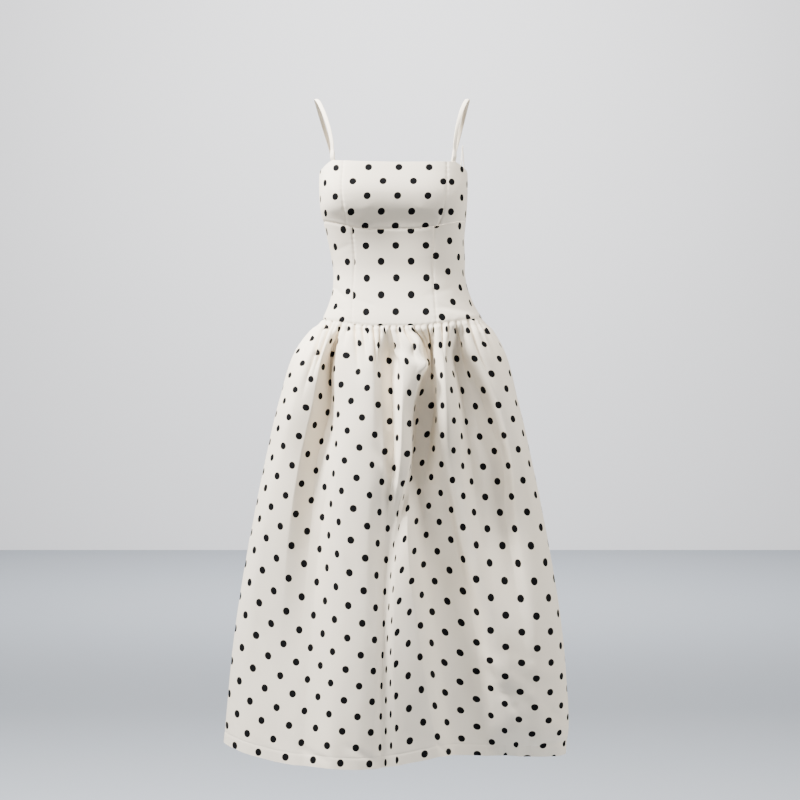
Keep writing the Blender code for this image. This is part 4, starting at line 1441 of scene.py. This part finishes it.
    def laid(self, points: Array, angle: Array, shares: Array) -> Array:
        """Lay the dots over a grid.

        Args:
            points: The grid.
            angle: The angles of its columns.
            shares: How far down its rows lie.

        Returns:
            The cloth place of every point: dot thread and dot row.
        """
        along = run_length(points)
        behind = angle[0] > 0
        turned = self.closed() if behind else self.angles
        threads = through(self.levels, self.threads.T, shares)
        if behind:
            last = threads[:, -1] + self.last_rise
            threads = np.concatenate([threads, last[:, None]], axis=1)
        keep = (turned >= angle[0] - 2.0) & (turned <= angle[-1] + 2.0)
        lines, values = turned[keep], threads[:, keep]
        thread = np.empty(along.shape)
        for i in range(len(shares)):
            at = np.interp(lines, angle, along[i])
            thread[i] = np.interp(along[i], at, values[i])
            before, after = along[i] < at[0], along[i] > at[-1]
            thread[i][before] = values[i][0] - (at[0] - along[i][before]) / (HALF_COLUMN * MM)
            thread[i][after] = values[i][-1] + (along[i][after] - at[-1]) / (HALF_COLUMN * MM)
        chart = through(self.chart_levels, np.array(self.chart), shares)
        row = np.array([through(self.chart_threads, *both) for both in zip(chart, thread)])
        return np.stack([thread, row], axis=-1)


# ------------------------------------------------------------------ the skirt's pieces


class SkirtCut(NamedTuple):
    """One gathered piece: its node, two side angles, flat size and dot shift."""

    node: str
    start: float
    end: float
    flat: Pair
    shift: float

    @property
    def name(self) -> str:
        """The piece's own name."""
        return f"{self.node}_cloth"

    @property
    def is_front(self) -> bool:
        """Whether it is the front piece."""
        return self.start < 0


@dataclass
class GatheredSkirt:
    """The front and the two back halves, gathered into the waist seam and hemmed."""

    form: SkirtForm
    outer: float = 0.5 * MM
    inner: float = -0.45 * MM
    hem_depth: float = 19.0
    hem_fold: Pair = (0.12, 0.75)
    hem_stitch: Pair = (0.34, 1.3)
    length: float = 758.0
    seam_dip: float = 0.8 * MM
    seam_width: float = 2.5 * MM
    puff: float = 4.2 * MM
    puff_span: Pair = (20.0, 70.0)
    flare: Pair = (0.60, 0.95)
    roundness: float = 1.35
    gathers: tuple[Gather, ...] = rows_of(
        Gather,
        (-86, 4, 1.8, 80), (-80, 5.8, 2, 100), (-73.5, 4.6, 1.7, 75), (-67, 9.8, 2.3, 150, 1.2),
        (-58.5, 10.9, 2, 115, -1), (-53.5, 4, 1.4, 45), (-48.5, 9.2, 1.8, 95),
        (-42.5, 4.6, 1.5, 55), (-36.5, 9.2, 1.9, 110, 1), (-30, 8, 1.7, 80), (-26, 5.2, 1.3, 45),
        (-20.5, 9.8, 1.8, 100, 1), (-14.3, 9.2, 1.8, 95), (-9.5, 4, 1.3, 40),
        (-5, 10.3, 2, 110, -0.8), (1.7, 8.6, 1.7, 65), (8.3, 10.3, 2, 95, 1.5), (13, 4.6, 1.4, 45),
        (17.8, 9.8, 1.9, 80, 0.8), (23.5, 5.8, 1.5, 70), (29.2, 10.3, 2, 130),
        (33.8, 6.3, 1.4, 70), (40.5, 9.8, 1.9, 95, 1), (46, 9.2, 1.7, 115), (51.6, 8.6, 1.7, 90),
        (56, 5.2, 1.4, 55), (62.4, 9.8, 2, 135, 1), (69, 5.2, 1.6, 75), (75, 7.5, 1.9, 95),
        (81, 4.6, 1.6, 70), (86.5, 4, 1.6, 80),
    )
    back_gathers: int = 27
    back_margin: float = 2.5
    back_gather: Gather = Gather(0.0, 5.0, 1.25, 68.0, 0.6)
    back_uneven: Pair = (2.0, 26.0)
    head_rows: tuple[float, ...] = (
        0, 1.5, 3, 5, 7.5, 10, 13, 16, 20, 24, 28, 33, 38, 44, 50, 57, 64, 72,
    )
    foot_rows: tuple[float, ...] = (
        64, 57, 51, 45, 40, 35, 31, 27, 24, 22, 20.5, 19.4, 18.4, 17, 14, 11, 8, 5, 2.5, 1, 0,
    )
    middle_rows: int = 58
    columns_per_thread: float = 12.0
    creases: tuple[Crease, ...] = rows_of(
        Crease,
        ((406, 480), (394, 524), 2.6, -2.2), ((394, 522), (384, 532), 2.4, -1.6),
        ((367, 452), (402, 495), 4.0, 1.6), ((371, 446), (408, 492), 4.0, -1.4),
        ((492, 694), (532, 688), 3.2, -2.6), ((480, 652), (540, 702), 5.0, 2.6),
        ((486, 668), (520, 716), 3.6, -2.2), ((498, 660), (556, 676), 4.0, 1.8),
        ((505, 716), (560, 706), 4.0, 2.0), ((540, 700), (566, 724), 3.0, -1.8),
        ((533, 748), (566, 741), 2.2, -1.8), ((435, 742), (451, 756), 2.6, -1.6),
        ((300, 748), (330, 762), 3.5, -1.2), ((345, 745), (381, 765), 4.0, -1.2),
        ((389, 356), (399, 364), 3.6, -3.0), ((411, 360), (425, 374), 3.4, 3.0),
        ((306, 470), (322, 540), 4.0, 1.0), ((345, 560), (372, 640), 5.0, -1.2),
        ((470, 520), (480, 600), 4.5, 1.0), ((258, 620), (280, 690), 5.0, -1.0),
        ((505, 560), (528, 640), 4.0, -1.0),
    )
    tugs: tuple[Tug, ...] = rows_of(
        Tug,
        ((420, 364), 6.5, 11.0, 4.0), ((413, 344), 7.0, 4.0, 4.0), ((397, 352), 7.0, -3.0, -8.0),
    )
    cuts: tuple[SkirtCut, ...] = (
        SkirtCut("skirt_front", -91.0, 91.0, (0.80, 0.79), 0.0),
        SkirtCut("skirt_back_left", 91.0, 180.0, (0.41, 0.79), 0.45),
        SkirtCut("skirt_back_right", 180.0, 269.0, (0.41, 0.79), -0.3),
    )

    def shares(self) -> Array:
        """Set out the rows, close together at the seam and the hem.

        Returns:
            How far down each lies, as a share of the skirt.
        """
        middle = np.linspace(80, self.length - 72, self.middle_rows)
        foot = self.length - np.array(self.foot_rows)
        return np.concatenate([self.head_rows, middle, foot]) / self.length

    def all_gathers(self, cut: SkirtCut) -> tuple[Gather, ...]:
        """List the gathers of one piece; the back ones are spaced evenly, each a little its own.

        Args:
            cut: The piece.

        Returns:
            Its gathers.
        """
        if cut.is_front:
            return self.gathers
        made, usual, (deeper, longer) = [], self.back_gather, self.back_uneven
        first, last = cut.start + self.back_margin, cut.end - self.back_margin
        for i in range(self.back_gathers):
            swing = float(wander(np.array(i * 2.1), cut.shift))
            share = (i + 0.25 * swing) / (self.back_gathers - 1)
            angle = first + (last - first) * share
            depth = usual.depth + deeper * float(wander(np.array(i * 1.3), 2.2 + cut.shift))
            length = usual.length + longer * swing
            made.append(Gather(angle, depth, usual.width, length, usual.drift * swing))
        return tuple(made)

    def gathering(self, cut: SkirtCut, angle: Array, shares: Array) -> Array:
        """Work out the gathers and the puffs between them.

        Args:
            cut: The piece.
            angle: The angles of its columns.
            shares: How far down its rows lie.

        Returns:
            How far every point stands out, in metres.
        """
        down = (shares * self.length)[:, None]
        push = np.zeros((len(shares), len(angle)))
        for gather in self.all_gathers(cut):
            share = down / gather.length
            centre = gather.angle + gather.drift * smooth(share)
            width = gather.width * (self.flare[0] + self.flare[1] * smooth(share * 1.3))
            fullness = (0.30 + 0.70 * smooth(down / 10.0)) * (1.0 - smooth((share - 0.30) / 0.70))
            off = (angle[None, :] - centre) / width
            push -= gather.depth * MM * fullness * np.exp(-np.abs(off) ** self.roundness)
        start, span = self.puff_span
        fade = smooth(down / 8.0) * (1.0 - smooth((down - start) / span))
        return push + self.puff * fade

    def rumpled(self, cut: SkirtCut, points: Array, shares: Array) -> Array:
        """Work out small, soft dents in the folds.

        Args:
            cut: The piece.
            points: Its grid.
            shares: How far down its rows lie.

        Returns:
            How far every point stands out, in metres.
        """
        down = (shares * self.length)[:, None]
        along = run_length(points)
        bent = along * 31 + 3.0 * wander(down * 0.012, 1.0)
        soft = 0.55 * wander(bent, 2.0 + cut.shift) * wander(down * 0.021, 0.7)
        patches = wander(down * 0.034 + along * 9, 4.0)
        soft += 0.30 * wander(along * 70 - down * 0.016, 0.5) * patches
        return soft * MM * smooth((down - 40.0) / 90.0)

    def build(self, finishes: Finishes) -> list[Thing]:
        """Make and dress the three pieces.

        Args:
            finishes: The dress's finishes.

        Returns:
            The pieces.
        """
        made, shares = [], self.shares()
        depth, width = self.hem_stitch
        for cut in self.cuts:
            angle = self.form.columns(cut.start, cut.end, self.columns_per_thread)
            points = self.form.base(angle, shares)
            laid = self.form.laid(points, angle, shares)
            laid[..., 0] += cut.shift
            points = self.form.curled(points, angle, shares)
            push = self.gathering(cut, angle, shares) + self.rumpled(cut, points, shares)
            aside = run_length(points)
            aside = np.minimum(aside, aside[:, -1:] - aside)
            push -= self.seam_dip * np.exp(-((aside / self.seam_width) ** 2))
            seen = VIEW.seen(points)
            if cut.is_front:
                for crease in self.creases:
                    push += crease.push(seen)
            points = points + outward(points) * push[..., None]
            if cut.is_front:
                for tug in self.tugs:
                    points = points + tug.pull(seen)
            points[0, :, 2] -= 0.5 * SEAM_GAP
            part_sides(points)
            rise = (1.0 - shares) * self.length
            turned = np.where(rise < self.hem_depth, 1.0, 0.0)
            stitch = depth * np.exp(-(((rise - self.hem_depth) / width) ** 2))
            outer = (self.outer + (self.hem_fold[0] * turned - stitch) * MM)[:, None]
            inner = (self.inner - self.hem_fold[1] * turned * MM)[:, None]
            piece = shell(cut.name, points, laid, outer, inner, finishes.made[Slot.DOTTED])
            dress_piece(piece, Body.DRESS, cut.node)
            made.append(piece)
        return made


# ------------------------------------------------------------------ straps, loop and zip


class StrapPoint(NamedTuple):
    """A station of a strap: place, width and thickness."""

    x: float
    y: float
    z: float
    width: float
    thick: float


@dataclass
class Straps:
    """Two turned tube straps, pressed flat and sewn inside the top edge."""

    bodice: BodiceForm
    stations: tuple[StrapPoint, ...] = rows_of(
        StrapPoint,
        (107.3, -77.5, -113, 9.2, 5.0), (107.6, -76.0, -106, 8.8, 4.4), (108, -73.8, -98, 7.2, 2.4),
        (109.0, -71.0, -84, 7.2, 2.0), (112.5, -60.0, -56, 6.6, 1.9), (119.0, -42.0, -26, 6.8, 1.9),
        (127.0, -18.0, -5, 7.2, 1.9), (131.4, 2.0, 0, 7.4, 1.9), (129.0, 24.0, -10, 7.4, 1.9),
        (122.5, 48.0, -42, 7.4, 1.9), (112.0, 67.0, -90, 7.4, 1.9), (104.5, 77.0, -130, 7.4, 1.9),
    )
    front_x: Pair = (-106.5, 108.5)
    front_heights: Pair = (-134, -122)
    back_angle: float = 127.5
    spread: Pair = (-7.0, 3.5)
    back_heights: Pair = (-158, -178)
    sewn_size: Pair = (7.4, 2.0)
    turn: float = 90.0
    behind: float = 2.1
    sides: int = 24
    steps: int = 8

    def inside(self, angle: float, height: float) -> tuple[Array, Array]:
        """Find a place behind a panel.

        Args:
            angle: Its angle round the body.
            height: Its height, in millimetres.

        Returns:
            The place, and the level way across it.
        """
        angles = np.array([angle - 0.5, angle, angle + 0.5])
        near = self.bodice.place(angles, np.full(3, height * MM))
        across = unit(near[2] - near[0])
        out = np.array([across[1], -across[0], 0.0])
        return near[1] - out * self.behind * MM, across

    def sewn(self, place: Array, across: Array) -> list[float]:
        """A station where the strap is sewn in."""
        return [*place, *across, *(size * MM for size in self.sewn_size)]

    def route(self, sign: int) -> Array:
        """Set out one strap, front to back.

        Args:
            sign: 1 for the wearer's left strap, -1 for the right one.

        Returns:
            Its stations.
        """
        front_x, spread = self.front_x[sign > 0], self.spread[sign > 0]
        low = np.array(self.front_heights[1] * MM)
        angle = float(self.bodice.angle_at(np.array(front_x * MM), low))
        fronts = [self.inside(angle, height) for height in self.front_heights]
        backs = [self.inside(sign * self.back_angle, height) for height in self.back_heights]
        front_across, back_across = fronts[-1][1], -backs[0][1]
        rows = [self.sewn(*end) for end in fronts]
        for row in self.stations:
            turn = float(smooth(-row.z / self.turn))
            way = front_across if row.y < 0 else back_across
            across = np.array([1.0, 0.0, 0.0]) * (1 - turn) + way * turn
            shift = (front_x - sign * self.stations[1].x) * turn * (row.y < 0) + spread * (1 - turn)
            place = np.array([sign * row.x + shift, row.y, row.z]) * MM
            rows.append([*place, *across, row.width * MM, row.thick * MM])
        rows += [self.sewn(place, back_across) for place, _ in backs]
        return eased_stations(np.array(rows), self.steps)

    def section(self) -> Array:
        """Shape a pressed tube: flat faces, round folds and a low seam ridge behind.

        Returns:
            Its section, for a width and a thickness of 1.
        """
        turned = np.linspace(0, 2 * pi, self.sides, endpoint=False)
        wide = 0.5 * np.sign(np.cos(turned)) * np.abs(np.cos(turned)) ** 0.55
        thick = 0.5 * np.sign(np.sin(turned)) * np.abs(np.sin(turned)) ** 0.8
        thick = thick * (0.9 + 0.25 * np.exp(-((wide / 0.16) ** 2)) * (thick < 0))
        return np.stack([wide, thick], axis=1)

    def build(self, finishes: Finishes) -> list[Thing]:
        """Make and dress both straps.

        Args:
            finishes: The dress's finishes.

        Returns:
            The pieces.
        """
        made, section, cotton = [], self.section(), finishes.made[Slot.PLAIN]
        for node, sign in (("strap_right", -1), ("strap_left", 1)):
            piece = ribbon(f"{node}_tube", self.route(sign), section, cotton)
            dress_piece(piece, Body.DRESS, node)
            made.append(piece)
        return made


@dataclass
class HangerLoop:
    """The thin cord loop that stands up out of the wearer's left armhole."""

    bodice: BodiceForm
    angles: Pair = (60.5, 66.5)
    foot: float = -146
    neck: float = -129
    top: float = -91
    shoulder: float = 0.65
    across: Triple = (0.6, 0.8, 0.0)
    cord: float = 1.6
    behind: float = 1.4
    sides: int = 12
    steps: int = 8

    def route(self) -> Array:
        """Set out the loop, up one side and down the other.

        Returns:
            Its stations.
        """
        legs = []
        for angle in self.angles:
            places = self.bodice.place(np.full(2, angle), np.array([self.foot, self.neck]) * MM)
            aim = self.bodice.place(np.array([angle, angle + 1.0]), np.full(2, self.neck * MM))
            across = unit(aim[1] - aim[0])
            legs.append(places - np.array([across[1], -across[0], 0.0]) * self.behind * MM)
        crown = 0.5 * (legs[0][1] + legs[1][1])
        crown[2] = self.top * MM
        rising, falling = (leg[1] + (crown - leg[1]) * self.shoulder for leg in legs)
        places = (*legs[0], rising, crown, falling, *legs[1][::-1])
        rows = [[*place, *self.across, self.cord * MM, self.cord * MM] for place in places]
        return eased_stations(np.array(rows), self.steps)

    def build(self, finishes: Finishes) -> Thing:
        """Make and dress the loop.

        Args:
            finishes: The dress's finishes.

        Returns:
            The piece.
        """
        turned = np.linspace(0, 2 * pi, self.sides, endpoint=False)
        section = 0.5 * np.stack([np.cos(turned), np.sin(turned)], axis=1)
        piece = ribbon("hanger_loop_cord", self.route(), section, finishes.made[Slot.PLAIN])
        dress_piece(piece, Body.DRESS, "hanger_loop_left")
        return piece


@dataclass
class BackZip:
    """The concealed zip: woven tapes, a coil of teeth behind the seam, slider and pull."""

    bodice: BodiceForm
    skirt: SkirtForm
    tape_angle: float = 173.2
    behind: float = 0.82
    thick: float = 1.0
    rows: int = 80
    columns: int = 7
    skirt_rows: tuple[float, ...] = (0.0, 0.008, 0.016, 0.026, 0.042, 0.058, 0.073)
    pitch: float = 1.25
    tooth: Triple = (3.0, 1.1, 0.75)
    tooth_rings: tuple[Pair, ...] = (
        (-1.0, 0.45), (-0.75, 0.9), (0.2, 0.9), (0.62, 1.2), (1.0, 0.5),
    )
    tooth_sides: int = 8
    tooth_aside: float = 0.6
    tooth_clear: float = 0.9

    def grid(self, sign: int) -> Array:
        """Set out the panels that one tape lies behind.

        Args:
            sign: 1 for the wearer's left tape, -1 for the right one.

        Returns:
            Their middle points, rows going down.
        """
        angles = np.linspace(self.tape_angle, 180.0, self.columns)
        angles = angles if sign > 0 else (360.0 - angles[::-1])
        turned = (angles + 180.0) % 360.0 - 180.0
        turned = np.where(np.abs(turned) > 179.999, 180.0 * sign, turned)
        top, bottom = self.bodice.top(turned), self.bodice.waist(turned)
        share = np.linspace(0, 1, self.rows)[:, None]
        upper = self.bodice.place(turned, top + (bottom - top) * share)
        lower = self.skirt.base(angles, np.array(self.skirt_rows))[1:]
        return np.concatenate([upper, lower])

    def one_tooth(self) -> tuple[Array, list[list[int]]]:
        """Shape one rounded tooth.

        Returns:
            Its points and its faces.
        """
        sides = self.tooth_sides
        long, deep, tall = (0.5 * size * MM for size in self.tooth)
        turned = np.linspace(0, 2 * pi, sides, endpoint=False)
        round_y, round_z = deep * np.cos(turned), tall * np.sin(turned)
        points, faces = [], []
        for share, swell in self.tooth_rings:
            ring = (np.full(sides, share * long), swell * round_y, swell * round_z)
            points.append(np.stack(ring, axis=1))
        last = (len(points) - 1) * sides
        for low in range(0, last, sides):
            high = low + sides
            for i, j in zip(range(sides), (*range(1, sides), 0)):
                faces.append([low + i, low + j, high + j, high + i])
        faces += [list(range(sides - 1, -1, -1)), list(range(last, last + sides))]
        return np.concatenate(points), faces

    def teeth(self, material: Material) -> Thing:
        """Make the coil: teeth from the two sides in turn, down behind the seam.

        Args:
            material: Its finish.

        Returns:
            The piece.
        """
        line = self.grid(1)[:, -1]
        down = run_length(line)
        at = np.arange(2.0 * MM, down[-1] - 1.0 * MM, self.pitch * MM)
        spots = np.stack([np.interp(at, down, line[:, i]) for i in range(3)], axis=1)
        one, faces = self.one_tooth()
        back = (self.behind + self.thick + self.tooth_clear) * MM
        points, all_faces = [], []
        for i, spot in enumerate(spots):
            side = 1.0 if i % 2 else -1.0
            shift = np.array([-side * self.tooth_aside * MM, -back, 0.0])
            points.append(one * np.array([side, 1.0, side]) + spot + shift)
            all_faces += [[corner + len(one) * i for corner in face] for face in faces]
        points = np.concatenate(points)
        laid = points[:, [0, 2]] / (HALF_COLUMN * MM)
        return put("zip_coil_teeth", points, all_faces, laid, material, crisp=60)

    def build(self, finishes: Finishes) -> list[Thing]:
        """Make and dress the tapes and teeth, and give the slider and pull their metal.

        Args:
            finishes: The dress's finishes.

        Returns:
            The pieces.
        """
        made = []
        start = -0.5 * MM - self.behind * 0.4 * MM
        for node, sign in (("zip_tape_left", 1), ("zip_tape_right", -1)):
            points = self.grid(sign)
            laid = on_cloth(run_length(points), -points[..., 2])
            stand = (start, start - self.thick * MM)
            piece = shell(f"{node}_twill", points, laid, *stand, finishes.made[Slot.TAPE])
            dress_piece(piece, Body.DRESS, node)
            made.append(piece)
        coil = self.teeth(finishes.made[Slot.TAPE])
        dress_piece(coil, Body.DRESS)
        made.append(coil)
        for node in ("zip_slider", "zip_pull"):
            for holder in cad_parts[node].material_slots:
                holder.material = finishes.made[Slot.METAL]
        return made


# ------------------------------------------------------------------ the studio


class Lamp(NamedTuple):
    """A square soft light: its place, what it is aimed at, size, power and colour."""

    name: str
    place: Triple
    aim: Triple
    size: float
    power: float
    colour: Triple = (1.0, 1.0, 1.0)


@dataclass
class Studio:
    """A plain pale floor and wall, a soft key light from the left front, and the camera."""

    floor: float = -1.45
    wall: float = 8.3
    wall_top: float = 8.0
    reach: float = 14.0
    floor_colour: Triple = (0.37, 0.40, 0.445)
    wall_colour: Triple = (0.80, 0.80, 0.82)
    sky: Triple = (1.0, 0.88, 0.74)
    sky_strength: float = 0.15
    lens: float = 87.5
    sensor: float = 36.0
    lamps: tuple[Lamp, ...] = rows_of(
        Lamp,
        ("key", (-1.1, -0.5, 1.25), (0.0, 0.0, -0.65), 0.36, 226.0, (1.0, 0.995, 0.985)),
        ("top_fill", (-0.45, -0.85, 1.65), (0.0, 0.0, -0.65), 0.5, 80.0, (1.0, 0.99, 0.975)),
        ("side_fill", (2.5, -0.35, 0.7), (0.0, 0.0, -0.65), 1.0, 80.0, (1.0, 0.985, 0.96)),
        ("floor_wash", (0.0, 4.0, 3.2), (0.0, 4.1, -1.4), 3.0, 95.0),
        ("wall_wash", (0.0, 3.9, 2.7), (0.0, 8.3, 0.9), 1.6, 540.0),
    )

    def plate(self, name: str, corners: Sequence[Triple], colour: Triple) -> None:
        """Add a flat staged plate.

        Args:
            name: Its name.
            corners: Its four corners, in turn.
            colour: Its paint.
        """
        mesh = bpy.data.meshes.new(name)
        mesh.from_pydata(list(corners), [], [(0, 1, 2, 3)])
        mesh.materials.append(StudioPaint(name, colour).build())
        made = bpy.data.objects.new(name, mesh)
        bpy.context.scene.collection.objects.link(made)

    def light(self, lamp: Lamp) -> None:
        """Hang a lamp and aim it.

        Args:
            lamp: The lamp.
        """
        data = bpy.data.lights.new(lamp.name, "AREA")
        data.shape, data.size = "SQUARE", lamp.size
        data.energy, data.color = lamp.power, lamp.colour
        made = bpy.data.objects.new(lamp.name, data)
        made.location = lamp.place
        way = Vector(lamp.aim) - Vector(lamp.place)
        made.rotation_euler = way.to_track_quat("-Z", "Y").to_euler()
        bpy.context.scene.collection.objects.link(made)

    def build(self) -> None:
        """Set out the floor, wall, lights, sky and camera."""
        left, right, front, wall = -self.reach, self.reach, -self.reach, self.wall
        low, high = self.floor, self.wall_top
        floor = ((left, front, low), (right, front, low), (right, wall, low), (left, wall, low))
        behind = ((left, wall, low), (right, wall, low), (right, wall, high), (left, wall, high))
        self.plate("studio_floor", floor, self.floor_colour)
        self.plate("studio_wall", behind, self.wall_colour)
        for lamp in self.lamps:
            self.light(lamp)
        world = bpy.data.worlds.new("studio_sky")
        bpy.context.scene.world = world
        world.use_nodes = True
        sky = world.node_tree.nodes["Background"]
        sky.inputs["Color"].default_value = (*self.sky, 1.0)
        sky.inputs["Strength"].default_value = self.sky_strength
        data = bpy.data.cameras.new("front_camera")
        data.lens, data.sensor_width = self.lens, self.sensor
        camera = bpy.data.objects.new("front_camera", data)
        camera.location = VIEW.eye
        camera.rotation_euler = (radians(90), 0.0, 0.0)
        bpy.context.scene.collection.objects.link(camera)
        bpy.context.scene.camera = camera


def main() -> None:
    """Build the dress piece by piece and report each."""
    logging.basicConfig(level=logging.INFO, format="%(message)s")
    Studio().build()
    finishes = Finishes()
    bodice = BodiceForm()
    skirt = SkirtForm(bodice)
    pieces = BodicePanels(bodice).build(finishes)
    pieces += GatheredSkirt(skirt).build(finishes)
    pieces += Straps(bodice).build(finishes)
    pieces.append(HangerLoop(bodice).build(finishes))
    pieces += BackZip(bodice, skirt).build(finishes)
    for piece in pieces:
        log.info("%s: %d faces", piece.name, len(piece.data.polygons))


if __name__ == "__main__":
    main()
